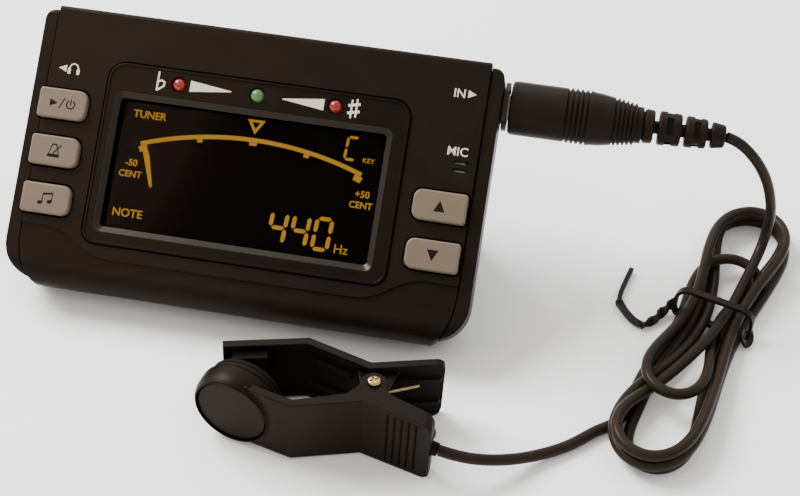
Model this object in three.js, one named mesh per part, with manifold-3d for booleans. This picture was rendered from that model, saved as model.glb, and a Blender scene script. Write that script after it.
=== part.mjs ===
// A pocket tuner and metronome that leans on its rear stand, with a jack lead and a spring clip pickup.
// Millimetres, +Z up, +X along the case's width. The table is the plane Z = 0.
import * as THREE from 'three';
import { mergeVertices } from 'three/addons/utils/BufferGeometryUtils.js';
import Module from 'manifold-3d';

const wasm = await Module();
wasm.setup();

// ---------------------------------------------------------------- driving dimensions
const GAP = 0.3;

// The case, in its own axes: x to the right, y up the face, z out of the face, z = 0 at the back.
const CASE_WIDTH = 107;
const CASE_HEIGHT = 64.5;
const CASE_DEPTH = 17;
const SHELL_SPLIT = 8.2;
const WALL = 2;
const END_STEP = 1;
const LEAN = THREE.MathUtils.degToRad(41.8);
const FOOT_CUT = 3.4;
const CASE_PLACE = [-0.65, -1.85];

const SCREW_PLACES = [[-46, 57.9], [10, 57.9], [14.5, 8], [46, 8]];

const BEZEL = { left: -36, right: 34, bottom: 11.2, top: 53 };
const WINDOW = { left: -32.5, right: 29.3, bottom: 15.3, top: 45.1 };
const LED_X = { led_flat: -19.5, led_center: -1.3, led_sharp: 16.8 };
const LED_Y = 49.7;

const BUTTON_HEIGHT = 6.9;
const BUTTON_ROWS = [41.5, 30.55, 19.5];
const LEFT_BUTTONS = [-51.1, -39.7];
const RIGHT_BUTTONS = [37.5, 49.7];
const BUTTON_TOP = 18.2;
const BUTTON_FOOT = 15.1;

const BATTERY_LENGTH = 44.5;
const BATTERY_RADIUS = 5.1;
const BAY = { left: -40, right: 8.8, bottom: 6.4, top: 29.6 };
const BATTERY_Z = 7.4;

const RECESS = { left: 11, right: 47, bottom: 12, top: 40.4, depth: 3.4 };
const HINGE_Y = 38;
const HINGE_Z = 1.7;
const LEG_LENGTH = 24;
const LEG_TIP_RADIUS = 1.2;

const JACK_Y = 56.5;
const JACK_Z = 8.5;
const HEADPHONE_Y = 49.5;

// The plug, along x from the case's end.
const PLUG_START = 55.3;
const PLUG_BODY_LENGTH = 30;
const RELIEF_END = 104.2;
const PLUG_TIP_X = 24.3;

// The clip, in its own axes: u towards the handles, v towards the upper arm, w up, from the pivot.
const CLIP_PLACE = [36.55, -33.35, 8.65];
const CLIP_HEADING = THREE.MathUtils.degToRad(1.3);
const CLIP_TILT = 0.02;
const CLIP_WIDTH = 16.6;
const ARM_LINE = [[-33.5, 5.2], [-15.6, 9.9], [-1.5, 5.6], [13.6, 9.9]];
const ARM_WALL = 1.4;
const ARM_RIM = 2.6;
const HANDLE_RIM = 3.4;
const BOSS_RADIUS = 2.85;
const DISC_PLACE = [-29, -7.2];
const DISC_OUT = [-0.24, -0.971];
const DISC_RADIUS = 9.2;
const DISC_THICKNESS = 5.4;
const GLAND_PLACE = [12.9, -7.65, 0];
const GLAND_AXIS = [0.962, -0.274];
const GLAND_RADIUS = 1.5;

// The cord, on the table's axes.
const CORD_RADIUS = 1.25;
const HANK = { x: 105.95, y: 10.35, heading: 73.3, length: 93.4, width: 20.6, height: 7.8 };

// ---------------------------------------------------------------- materials
function finish(color, roughness, metalness = 0) {
  return new THREE.MeshStandardMaterial({ color, roughness, metalness });
}
const CASE_BLACK = finish(0x1c1917, 0.5);
const GLOSS_BLACK = finish(0x141210, 0.25);
const BUTTON_GREY = finish(0xa39a90, 0.45);
const SOFT_BLACK = finish(0x171513, 0.8);
const CORD_BLACK = finish(0x151312, 0.5);
const BRASS = finish(0xb08d5e, 0.35, 1);
const STEEL = finish(0xb4b4b2, 0.3, 1);
const CLEAR = finish(0x201c1a, 0.1);
const PANEL = finish(0x100806, 0.3);
const DIFFUSER = finish(0xe8e4d8, 0.6);
const RED_LENS = finish(0x961a06, 0.25);
const GREEN_LENS = finish(0x5f8b50, 0.25);
const BOARD = finish(0x1f5a34, 0.5);
const BATTERY_SLEEVE = finish(0x3c4650, 0.35);

// ---------------------------------------------------------------- shape helpers
function volumeOf(position, index) {
  const a = new THREE.Vector3();
  const b = new THREE.Vector3();
  const c = new THREE.Vector3();
  let volume = 0;
  for (let i = 0; i < index.length; i += 3) {
    a.fromBufferAttribute(position, index[i]);
    b.fromBufferAttribute(position, index[i + 1]);
    c.fromBufferAttribute(position, index[i + 2]);
    volume += a.dot(b.cross(c)) / 6;
  }
  return volume;
}

// A closed three.js geometry as a solid that can be joined and cut.
function solid(geometry) {
  const bare = geometry.clone();
  bare.deleteAttribute('normal');
  bare.deleteAttribute('uv');
  const merged = mergeVertices(bare, 1e-4);
  const index = [];
  for (let i = 0; i < merged.index.count; i += 3) {
    const corners = [merged.index.getX(i), merged.index.getX(i + 1), merged.index.getX(i + 2)];
    if (new Set(corners).size === 3) {
      index.push(...corners);
    }
  }
  if (volumeOf(merged.attributes.position, index) < 0) {
    index.reverse();
  }
  return new wasm.Manifold(new wasm.Mesh({
    numProp: 3,
    vertProperties: new Float32Array(merged.attributes.position.array),
    triVerts: new Uint32Array(index),
  }));
}

function piece(name, body, material) {
  const data = body.getMesh();
  const geometry = new THREE.BufferGeometry();
  geometry.setAttribute('position', new THREE.BufferAttribute(new Float32Array(data.vertProperties), 3));
  geometry.setIndex(new THREE.BufferAttribute(new Uint32Array(data.triVerts), 1));
  geometry.computeVertexNormals();
  const mesh = new THREE.Mesh(geometry, material);
  mesh.name = name;
  return mesh;
}

function union(...bodies) {
  return bodies.reduce((joined, body) => joined.add(body));
}

function without(body, ...cutters) {
  return cutters.reduce((left, cutter) => left.subtract(cutter), body);
}

function block(x0, x1, y0, y1, z0, z1) {
  const geometry = new THREE.BoxGeometry(x1 - x0, y1 - y0, z1 - z0);
  geometry.translate((x0 + x1) / 2, (y0 + y1) / 2, (z0 + z1) / 2);
  return solid(geometry);
}

// A rod of a radius from one point to another.
function rod(from, to, radius, sides = 20) {
  const start = new THREE.Vector3(...from);
  const along = new THREE.Vector3(...to).sub(start);
  const geometry = new THREE.CylinderGeometry(radius, radius, along.length(), sides);
  const turn = new THREE.Quaternion().setFromUnitVectors(
    new THREE.Vector3(0, 1, 0),
    along.clone().normalize(),
  );
  geometry.applyQuaternion(turn);
  geometry.translate(...start.addScaledVector(along, 0.5).toArray());
  return solid(geometry);
}

// A profile of [radius, height] points turned about an axis that starts at a place.
function turned(profile, place, axis, sides = 28) {
  const points = profile.map(([radius, height]) => new THREE.Vector2(radius, height));
  const geometry = new THREE.LatheGeometry(points, sides);
  geometry.applyQuaternion(new THREE.Quaternion().setFromUnitVectors(
    new THREE.Vector3(0, 1, 0),
    new THREE.Vector3(...axis).normalize(),
  ));
  geometry.translate(...place);
  return solid(geometry);
}

function tube(points, radius, sides, steps) {
  const path = new THREE.CatmullRomCurve3(points.map((p) => new THREE.Vector3(...p)), false, 'centripetal');
  const section = new THREE.Shape();
  for (let i = 0; i < sides; i += 1) {
    const angle = (i / sides) * 2 * Math.PI;
    const corner = [radius * Math.cos(angle), radius * Math.sin(angle)];
    if (i === 0) {
      section.moveTo(...corner);
    } else {
      section.lineTo(...corner);
    }
  }
  return solid(new THREE.ExtrudeGeometry(section, { steps, extrudePath: path, bevelEnabled: false }));
}

// A flat outline of [x, y] points pushed from z0 to z1.
function plate(outline, z0, z1) {
  const shape = new THREE.Shape(outline.map(([x, y]) => new THREE.Vector2(x, y)));
  const geometry = new THREE.ExtrudeGeometry(shape, { depth: z1 - z0, bevelEnabled: false });
  geometry.translate(0, 0, z0);
  return solid(geometry);
}

// An outline of [y, z] points pushed from x0 to x1.
function bar(outline, x0, x1) {
  const shape = new THREE.Shape(outline.map(([y, z]) => new THREE.Vector2(y, z)));
  const geometry = new THREE.ExtrudeGeometry(shape, { depth: x1 - x0, bevelEnabled: false });
  geometry.applyMatrix4(new THREE.Matrix4().makeBasis(
    new THREE.Vector3(0, 1, 0),
    new THREE.Vector3(0, 0, 1),
    new THREE.Vector3(1, 0, 0),
  ));
  geometry.translate(x0, 0, 0);
  return solid(geometry);
}

// Part of an ellipse, as points from one angle to another, both in degrees.
function arc(x, y, radiusX, radiusY, from, to, steps = 6) {
  return Array.from({ length: steps + 1 }, (_, i) => {
    const angle = THREE.MathUtils.degToRad(from + ((to - from) * i) / steps);
    return [x + radiusX * Math.cos(angle), y + radiusY * Math.sin(angle)];
  });
}

// A rectangle with a radius at each corner: bottom left, bottom right, top right, top left.
function rounded(x0, x1, y0, y1, [bl, br, tr, tl], steps = 5) {
  return [
    ...arc(x0 + bl, y0 + bl, bl, bl, 180, 270, steps),
    ...arc(x1 - br, y0 + br, br, br, 270, 360, steps),
    ...arc(x1 - tr, y1 - tr, tr, tr, 0, 90, steps),
    ...arc(x0 + tl, y1 - tl, tl, tl, 90, 180, steps),
  ];
}

// A closed skin through outlines of equal length, each at its own height.
function loft(layers) {
  const count = layers[0].outline.length;
  const position = layers.flatMap(({ outline, z }) => outline.flatMap(([x, y]) => [x, y, z]));
  const index = [];
  for (let k = 0; k + 1 < layers.length; k += 1) {
    for (let i = 0; i < count; i += 1) {
      const a = k * count + i;
      const b = k * count + ((i + 1) % count);
      index.push(a, b, b + count, a, b + count, a + count);
    }
  }
  const cap = THREE.ShapeUtils.triangulateShape(
    layers[0].outline.map(([x, y]) => new THREE.Vector2(x, y)),
    [],
  );
  const top = (layers.length - 1) * count;
  for (const [a, b, c] of cap) {
    index.push(a, c, b, top + a, top + b, top + c);
  }
  const geometry = new THREE.BufferGeometry();
  geometry.setAttribute('position', new THREE.Float32BufferAttribute(position, 3));
  geometry.setIndex(index);
  return solid(geometry);
}

// ---------------------------------------------------------------- the case
const HALF_WIDTH = CASE_WIDTH / 2;

function caseOutline(inset) {
  const small = Math.max(2.5 - inset, 0.5);
  const large = Math.max(8.5 - inset, 1);
  return rounded(
    -HALF_WIDTH + inset,
    HALF_WIDTH - inset,
    END_STEP + inset,
    CASE_HEIGHT - END_STEP - inset,
    [large, large, small, small],
  );
}

// The proud middle of the face, whose ends turn in towards the bottom corners.
function seamOutline(inset) {
  const right = new THREE.QuadraticBezierCurve(
    new THREE.Vector2(46.7 - inset, 0.8 + inset),
    new THREE.Vector2(50.3 - inset, 4.8),
    new THREE.Vector2(50.3 - inset, 12),
  ).getPoints(6).map((p) => [p.x, p.y]);
  const side = [[45.6 - inset, inset], ...right, [50.3 - inset, CASE_HEIGHT - inset]];
  const other = side.map(([x, y]) => [-x, y]).reverse();
  return [...side, ...other];
}

function faceProfile(drop, step) {
  return [
    [step, SHELL_SPLIT + GAP],
    ...arc(5 + step, 12.5, 5, 4.5 - drop, 180, 90),
    ...arc(CASE_HEIGHT - step - 1, CASE_DEPTH - drop - 1, 1, 1, 90, 0, 3),
    [CASE_HEIGHT - step, SHELL_SPLIT + GAP],
  ];
}

// Everything below a level plane of the table's axes, in the case's axes.
function belowLevel(height) {
  const geometry = new THREE.BoxGeometry(200, 100, 20);
  geometry.translate(0, 0, height - 10);
  geometry.rotateX(-LEAN);
  return solid(geometry);
}

function buttonOutline([left, right], middle, grow) {
  const inner = 2 + grow;
  const outer = 0.8 + grow;
  const corners = left < 0 ? [outer, inner, inner, outer] : [inner, outer, outer, inner];
  const half = BUTTON_HEIGHT / 2 + grow;
  return rounded(left - grow, right + grow, middle - half, middle + half, corners, 4);
}

const BUTTONS = [
  ['power_button', LEFT_BUTTONS, BUTTON_ROWS[0]],
  ['mode_button', LEFT_BUTTONS, BUTTON_ROWS[1]],
  ['note_button', LEFT_BUTTONS, BUTTON_ROWS[2]],
  ['up_button', RIGHT_BUTTONS, BUTTON_ROWS[1]],
  ['down_button', RIGHT_BUTTONS, BUTTON_ROWS[2]],
];

function frontCover() {
  const middle = bar(faceProfile(0, 0), -HALF_WIDTH, HALF_WIDTH)
    .intersect(plate(seamOutline(0), 0, 20));
  const ends = bar(faceProfile(0.5, END_STEP), -HALF_WIDTH, HALF_WIDTH)
    .intersect(plate(caseOutline(0), 0, 20));
  const inside = plate(seamOutline(WALL), 0, CASE_DEPTH - 2.1)
    .intersect(block(-HALF_WIDTH, HALF_WIDTH, WALL + 1.5, CASE_HEIGHT - WALL, 0, 20));
  const posts = SCREW_PLACES.map(([x, y]) => rod([x, y, 5.4], [x, y, 15.5], 2.8, 16));
  const bores = SCREW_PLACES.map(([x, y]) => rod([x, y, 0], [x, y, 12], 1.25, 12));
  const slots = [39.2, 41].map((y) => block(45.1, 48.3, y - 0.3, y + 0.3, 10, 20));
  const holes = BUTTONS.map(([, sides, row]) => plate(buttonOutline(sides, row, 0.35), 10, 20));
  const ledHoles = Object.values(LED_X).map((x) => rod([x, LED_Y, 10], [x, LED_Y, 20], 1.8, 16));
  const seat = plate(rounded(
    BEZEL.left - GAP,
    BEZEL.right + GAP,
    BEZEL.bottom - GAP,
    BEZEL.top + GAP,
    [3.3, 3.3, 4.3, 4.3],
  ), 15.8, 20);
  const opening = block(WINDOW.left - 1, WINDOW.right + 1, WINDOW.bottom - 1, WINDOW.top + 1, 10, 20);
  const jackHole = rod([30, JACK_Y, JACK_Z], [60, JACK_Y, JACK_Z], 4.4);
  const headphoneHole = rod([-60, HEADPHONE_Y, JACK_Z], [-45, HEADPHONE_Y, JACK_Z], 3.3, 16);
  const shell = union(without(union(middle, ends), inside), ...posts);
  return without(shell, ...bores, ...slots, ...holes, ...ledHoles, seat, opening, jackHole, headphoneHole);
}

function rearLayers(inset, bottom, top) {
  return [
    { outline: caseOutline(inset + 3), z: bottom },
    { outline: caseOutline(inset + 1.1), z: bottom + 1.6 },
    { outline: caseOutline(inset + 0.3), z: bottom + 4 },
    { outline: caseOutline(inset), z: top },
  ];
}

const REAR_OUTSIDE = loft(rearLayers(0, 0, SHELL_SPLIT));

// The cover's own space: a plate with a tongue along each long side, open to the left end.
function coverSpace(gap) {
  const right = BAY.right + 1.2 + gap;
  return union(
    block(-60, right, BAY.bottom - gap, BAY.top + gap, -1, 1.6 + gap),
    block(-60, right, BAY.bottom - 0.8 - gap, BAY.top + 0.8 + gap, 0.9 - gap, 1.6 + gap),
  );
}

function rearCover() {
  const inside = without(loft(rearLayers(WALL, WALL, SHELL_SPLIT + 1)), belowLevel(FOOT_CUT + 1.6));
  const tray = block(BAY.left - 1.2, BAY.right + 1.2, BAY.bottom - 1.2, BAY.top + 1.2, 1, 12.2);
  const underCover = block(-52, BAY.left, BAY.bottom - 2, BAY.top + 2, 1, 3.6).intersect(REAR_OUTSIDE);
  const recessWall = block(
    RECESS.left - 1.3,
    RECESS.right + 1.5,
    RECESS.bottom - 1.5,
    RECESS.top + 1.5,
    1,
    RECESS.depth + 1.5,
  );
  const bosses = SCREW_PLACES.map(([x, y]) => rod([x, y, 1], [x, y, 5], 3.4, 16));
  const sinks = SCREW_PLACES.flatMap(([x, y]) => [
    rod([x, y, -1], [x, y, 2.2], 2.5, 16),
    rod([x, y, -1], [x, y, 6], 1.35, 12),
  ]);
  const bay = block(BAY.left, BAY.right, BAY.bottom, BAY.top, -1, 14);
  const recess = block(RECESS.left, RECESS.right, RECESS.bottom, RECESS.top, -1, RECESS.depth);
  const pinHole = rod([RECESS.left - 1.1, HINGE_Y, HINGE_Z], [RECESS.right + 1.1, HINGE_Y, HINGE_Z], 1, 12);
  const grille = [0, 1, 2, 3, 4].map((i) => block(-30, -14, 40 + 3.2 * i, 41.2 + 3.2 * i, -1, 4));
  const jackHole = rod([45, JACK_Y, JACK_Z], [60, JACK_Y, JACK_Z], 4.4);
  const headphoneHole = rod([-60, HEADPHONE_Y, JACK_Z], [-45, HEADPHONE_Y, JACK_Z], 3.3, 16);
  const shell = union(without(REAR_OUTSIDE, inside), tray, underCover, recessWall, ...bosses);
  return without(
    shell,
    belowLevel(FOOT_CUT),
    coverSpace(GAP),
    bay,
    recess,
    pinHole,
    ...sinks,
    ...grille,
    jackHole,
    headphoneHole,
  );
}

function bezel() {
  const body = plate(rounded(BEZEL.left, BEZEL.right, BEZEL.bottom, BEZEL.top, [3, 3, 4, 4]), 16.1, 17.2);
  const opening = plate(
    rounded(WINDOW.left, WINDOW.right, WINDOW.bottom, WINDOW.top, [1, 1, 1, 1], 3),
    15,
    20,
  );
  const ledHoles = Object.values(LED_X).map((x) => rod([x, LED_Y, 10], [x, LED_Y, 20], 1.8, 16));
  return without(body, opening, ...ledHoles);
}

function screenPlate(grow, z0, z1) {
  return block(WINDOW.left - grow, WINDOW.right + grow, WINDOW.bottom - grow, WINDOW.top + grow, z0, z1);
}

function led(x) {
  return turned(
    [[0, 12.4], [1.5, 12.4], [1.5, 16.6], [1.3, 17.35], [0.75, 17.9], [0, 18.1]],
    [x, LED_Y, 0],
    [0, 0, 1],
    16,
  );
}

function board() {
  const outline = [
    [-47.2, 12], [-41.7, 12], [-41.7, 32.3], [12, 32.3], [12, 12], [47.5, 12], [47.5, 49.5],
    [18.5, 49.5], [18.5, 61.5], [14, 61.5], [14, 54.6], [6, 54.6], [6, 61.5], [-41.5, 61.5],
    [-41.5, 54.5], [-47.2, 54.5],
  ];
  return plate(outline, 10.3, 11.9);
}

function caseScrew([x, y]) {
  return turned(
    [[0, 10.5], [0.95, 10.5], [0.95, 1.9], [2.2, 1.9], [2.2, 0.6], [0, 0.6]],
    [x, y, 0],
    [0, 0, 1],
    14,
  );
}

function battery(y) {
  const left = BAY.left + 3.4;
  const right = left + BATTERY_LENGTH;
  return turned(
    [
      [0, 0],
      [BATTERY_RADIUS - 0.5, 0],
      [BATTERY_RADIUS, 0.5],
      [BATTERY_RADIUS, BATTERY_LENGTH - 1.5],
      [BATTERY_RADIUS - 0.6, BATTERY_LENGTH - 0.9],
      [1.9, BATTERY_LENGTH - 0.9],
      [1.9, right - left],
      [0, right - left],
    ],
    [left, y, BATTERY_Z],
    [1, 0, 0],
    20,
  );
}

const BATTERY_ROWS = [12.1, 23.9];

function batterySprings() {
  const back = block(BAY.left + 0.3, BAY.left + 0.7, BAY.bottom + 0.8, BAY.top - 0.8, 3.2, 11.6);
  const springs = BATTERY_ROWS.map((y) => turned(
    [[2.6, 0], [3.4, 0], [2.2, 2.6], [1.4, 2.6], [2.6, 0]],
    [BAY.left + 0.6, y, BATTERY_Z],
    [1, 0, 0],
    14,
  ));
  return union(back, ...springs);
}

function batteryPlate() {
  return block(BAY.right - 0.6, BAY.right - 0.3, BAY.bottom + 0.8, BAY.top - 0.8, 3.2, 11.6);
}

function inputJack() {
  const body = union(
    block(20, 47.9, JACK_Y - 5.5, JACK_Y + 3.8, 4.4, 13.6),
    block(20, 47.9, JACK_Y - 5.5, JACK_Y + 4.4, 6.2, 13.6),
  );
  const bush = rod([47.5, JACK_Y, JACK_Z], [54.5, JACK_Y, JACK_Z], 4);
  const bore = rod([22.5, JACK_Y, JACK_Z], [60, JACK_Y, JACK_Z], 3.4);
  return without(union(body, bush), bore);
}

function ring(x0, x1, y, z, inner, outer, sides = 24) {
  return without(
    rod([x0, y, z], [x1, y, z], outer, sides),
    rod([x0 - 1, y, z], [x1 + 1, y, z], inner, sides),
  );
}

function headphoneJack() {
  const body = block(-47.9, -38, HEADPHONE_Y - 3.2, HEADPHONE_Y + 3.2, 5.3, 10);
  const bush = rod([-53.2, HEADPHONE_Y, JACK_Z], [-47.6, HEADPHONE_Y, JACK_Z], 3, 16)
    .intersect(block(-60, -40, 0, 60, 0, 11.5));
  return without(union(body, bush), rod([-60, HEADPHONE_Y, 7.9], [-40, HEADPHONE_Y, 7.9], 1.8, 16));
}

// ---------------------------------------------------------------- the stand
// The opening angle that sets the leg's rounded tip on the table.
const HINGE_HEIGHT = HINGE_Y * Math.sin(LEAN) + HINGE_Z * Math.cos(LEAN) - FOOT_CUT;
const STAND_OPEN = Math.PI - LEAN - Math.asin((HINGE_HEIGHT - LEG_TIP_RADIUS - 0.03) / LEG_LENGTH);

function standLeg() {
  const left = RECESS.left + 0.8;
  const right = RECESS.right - 0.8;
  const leaf = block(left, right, -LEG_LENGTH, -1, -1.2, 1.2);
  const tip = rod([left, -LEG_LENGTH, 0], [right, -LEG_LENGTH, 0], LEG_TIP_RADIUS, 16);
  const barrel = rod([left, 0, 0], [right, 0, 0], 1.4, 16);
  const fingerHole = block(left + 9, right - 9, -LEG_LENGTH + 5, -LEG_LENGTH + 12, -3, 3);
  const pinHole = rod([left - 1, 0, 0], [right + 1, 0, 0], 1, 12);
  return without(union(leaf, tip, barrel), fingerHole, pinHole);
}

// ---------------------------------------------------------------- the plug
function alongPlug(profile, sides = 24) {
  return turned(profile, [0, JACK_Y, JACK_Z], [1, 0, 0], sides);
}

function plugTip() {
  const x = PLUG_TIP_X;
  return alongPlug([
    [0, x], [1.2, x + 0.3], [3.15, x + 2.6], [2.3, x + 4.2], [3.1, x + 5], [3.1, x + 6], [0, x + 6],
  ], 16);
}

function plugBody() {
  const x = PLUG_START;
  return alongPlug([
    [0, x], [6, x], [6.2, x + 0.5], [6.2, x + 18.5], [5.4, x + 24], [4.9, x + 28.4], [4.2, x + 28.8],
    [4.2, x + PLUG_BODY_LENGTH], [0, x + PLUG_BODY_LENGTH],
  ]);
}

function strainRelief() {
  const start = PLUG_START + PLUG_BODY_LENGTH + GAP;
  const core = [start, RELIEF_END - GAP];
  const beads = [
    [start, start + 2.4, 3.9],
    [start + 2.9, start + 8.7, 3.9],
    [start + 9.2, start + 14.6, 3.6],
    [start + 15.1, core[1], 3],
  ];
  const profile = [[0, start]];
  beads.forEach(([from, to, radius], i) => {
    if (i > 0) {
      profile.push([1.9, from]);
    }
    profile.push([radius, from], [radius, to]);
    if (i + 1 < beads.length) {
      profile.push([1.9, to]);
    }
  });
  profile.push([0, core[1]]);
  return alongPlug(profile, 20);
}

// ---------------------------------------------------------------- the clip
const HALF_CLIP = CLIP_WIDTH / 2;
const SLOT_HALF = HALF_CLIP - ARM_WALL;
const PIVOT_HOLE = 1.3;

// The upper arm's line moved in by a distance, with its corners mitred.
function insetLine(distance) {
  const normals = ARM_LINE.slice(1).map(([x, y], i) => {
    const run = new THREE.Vector2(x - ARM_LINE[i][0], y - ARM_LINE[i][1]).normalize();
    return new THREE.Vector2(run.y, -run.x);
  });
  return ARM_LINE.map(([x, y], i) => {
    const before = normals[Math.max(i - 1, 0)];
    const after = normals[Math.min(i, normals.length - 1)];
    const reach = distance / (1 + before.dot(after));
    return [x + (before.x + after.x) * reach, y + (before.y + after.y) * reach];
  });
}

function mirrored(points) {
  return points.map(([x, y]) => [x, -y]).reverse();
}

// A point on the upper jaw, from its tip along the jaw and down from its outer face.
function onJaw(along, down) {
  const [tip, bend] = ARM_LINE;
  const run = new THREE.Vector2(bend[0] - tip[0], bend[1] - tip[1]).normalize();
  return [tip[0] + run.x * along + run.y * down, tip[1] + run.y * along - run.x * down];
}

function armChannel() {
  const [tip, bend, waist, end] = insetLine(ARM_WALL);
  return [
    [tip[0] + 1.3, tip[1] + 0.3], bend, waist, [end[0] - 1.4, end[1] - 0.4], [end[0] - 1.4, -4],
    [tip[0] + 1.3, -4],
  ];
}

const DISC_AXIS = [...DISC_OUT, 0];

// A profile turned about the disc's axis, with heights measured inwards from its outer face.
function onDisc(profile, sides = 32) {
  return turned(profile, [...DISC_PLACE, 0], [-DISC_AXIS[0], -DISC_AXIS[1], 0], sides);
}

function glandRod(from, to, radius) {
  const at = (t) => [
    GLAND_PLACE[0] + GLAND_AXIS[0] * t,
    GLAND_PLACE[1] + GLAND_AXIS[1] * t,
    GLAND_PLACE[2],
  ];
  return rod(at(from), at(to), radius, 16);
}

function lowerArm() {
  const outer = mirrored(ARM_LINE);
  const [tip, bend] = insetLine(ARM_RIM);
  const end = insetLine(HANDLE_RIM)[3];
  const side = plate([
    ...outer, [tip[0], -tip[1]], [bend[0], -bend[1]], [-5.1, -3.9], [-3.4, -1.8],
    ...arc(0, 0, BOSS_RADIUS, BOSS_RADIUS, 190, -20, 10),
    [3.6, -2.3],
    [end[0], -end[1]],
  ], -HALF_CLIP, HALF_CLIP);
  const channel = plate(mirrored(armChannel()), -SLOT_HALF, SLOT_HALF);
  const screwHole = rod([0, 0, -20], [0, 0, 20], PIVOT_HOLE, 14);
  const housing = onDisc([
    [0, 3.4], [7, 3.4], [7, 1.6], [8.2, 1.6], [8.2, 0], [8.7, 0], [DISC_RADIUS, 0.6],
    [DISC_RADIUS, DISC_THICKNESS - 0.6], [8.8, DISC_THICKNESS], [0, DISC_THICKNESS],
  ]);
  const room = onDisc([
    [0, -6], [DISC_RADIUS, -6], [DISC_RADIUS, DISC_THICKNESS + 6], [0, DISC_THICKNESS + 6],
  ]);
  return union(without(side, channel, screwHole, glandRod(-4, 6, GLAND_RADIUS + 0.25), room), housing);
}

function upperArm() {
  const rim = insetLine(ARM_RIM).reverse();
  const side = plate([...ARM_LINE, ...rim], -HALF_CLIP, HALF_CLIP);
  const channel = plate(armChannel(), -SLOT_HALF, SLOT_HALF);
  const ear = (w) => plate(
    [[-4.5, 5.6], ...arc(0, 0, 2.7, 2.7, 190, 350, 8), [4.5, 5.9]],
    w - 0.65,
    w + 0.65,
  );
  const screwHole = rod([0, 0, -20], [0, 0, 20], PIVOT_HOLE, 14);
  return without(union(without(side, channel), ear(-5.8), ear(5.8)), screwHole);
}

function pivotScrew() {
  return turned(
    [[0, -8.2], [1, -8.2], [1, 8.55], [1.4, 8.55], [1.4, 9], [1.1, 9.25], [0, 9.25]],
    [0, 0, 0],
    [0, 0, 1],
    16,
  );
}

function torsionSpring() {
  const coil = without(rod([0, 0, -3.2], [0, 0, 3.2], 2.4, 18), rod([0, 0, -5], [0, 0, 5], 1.4, 14));
  const upperLeg = rod([0.9, 1.9, 2.75], [8.9, 6, 2.75], 0.4, 8);
  const lowerLeg = rod([0.9, -1.9, -2.75], [8.9, -6, -2.75], 0.4, 8);
  return union(coil, upperLeg, lowerLeg);
}

// ---------------------------------------------------------------- the cord
const DROP_ROUTE = [
  [103.6, 34.61, 40.6], [104.75, 34.63, 40.5], [106.3, 34.72, 39.85], [108.35, 34.91, 38],
  [110.95, 35.16, 35.2], [112.95, 35.61, 32.3], [114.95, 36.06, 28.5], [116.35, 36.66, 24.5],
  [117.65, 37.81, 19.5], [118.35, 39.21, 14.6], [118.35, 39.81, 11], [118.25, 39.96, 8.15],
];
const TAIL_ROUTE = [
  [83.8, -23.14, 1.3], [81.2, -26.09, 1.3], [78.15, -28.89, 1.3], [71.35, -33.79, 2.2],
  [64.65, -38.19, 4.5], [58.2, -41.29, 7.2], [54.8, -41.79, 8.2], [52.04, -41.34, 8.34],
];

function hank() {
  const half = HANK.width / 2;
  const run = HANK.length / 2 - half;
  const outline = [...arc(run, 0, half, half, -90, 90, 10), ...arc(-run, 0, half, half, 90, 270, 10)];
  return plate(outline, 0, HANK.height);
}

// The tie bends over the hank and lies on the table beside it.
const TIE_ALONG = 5.3;

function twistTie() {
  const inner = HANK.width / 2 + GAP;
  const outer = inner + 0.9;
  const top = HANK.height + GAP;
  const arch = without(
    block(TIE_ALONG - 1.3, TIE_ALONG + 1.3, -outer, outer, 0, top + 0.9),
    block(TIE_ALONG - 3, TIE_ALONG + 3, -inner, inner, -2, top),
  );
  const tail = tube([
    [TIE_ALONG, outer - 0.1, 1], [-2.6, 12.9, 1], [-3.9, 15, 1], [-1, 19, 1], [1.5, 21.4, 1],
    [13.4, 22.7, 1],
  ], 0.8, 8, 20);
  return union(arch, tail);
}

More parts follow.
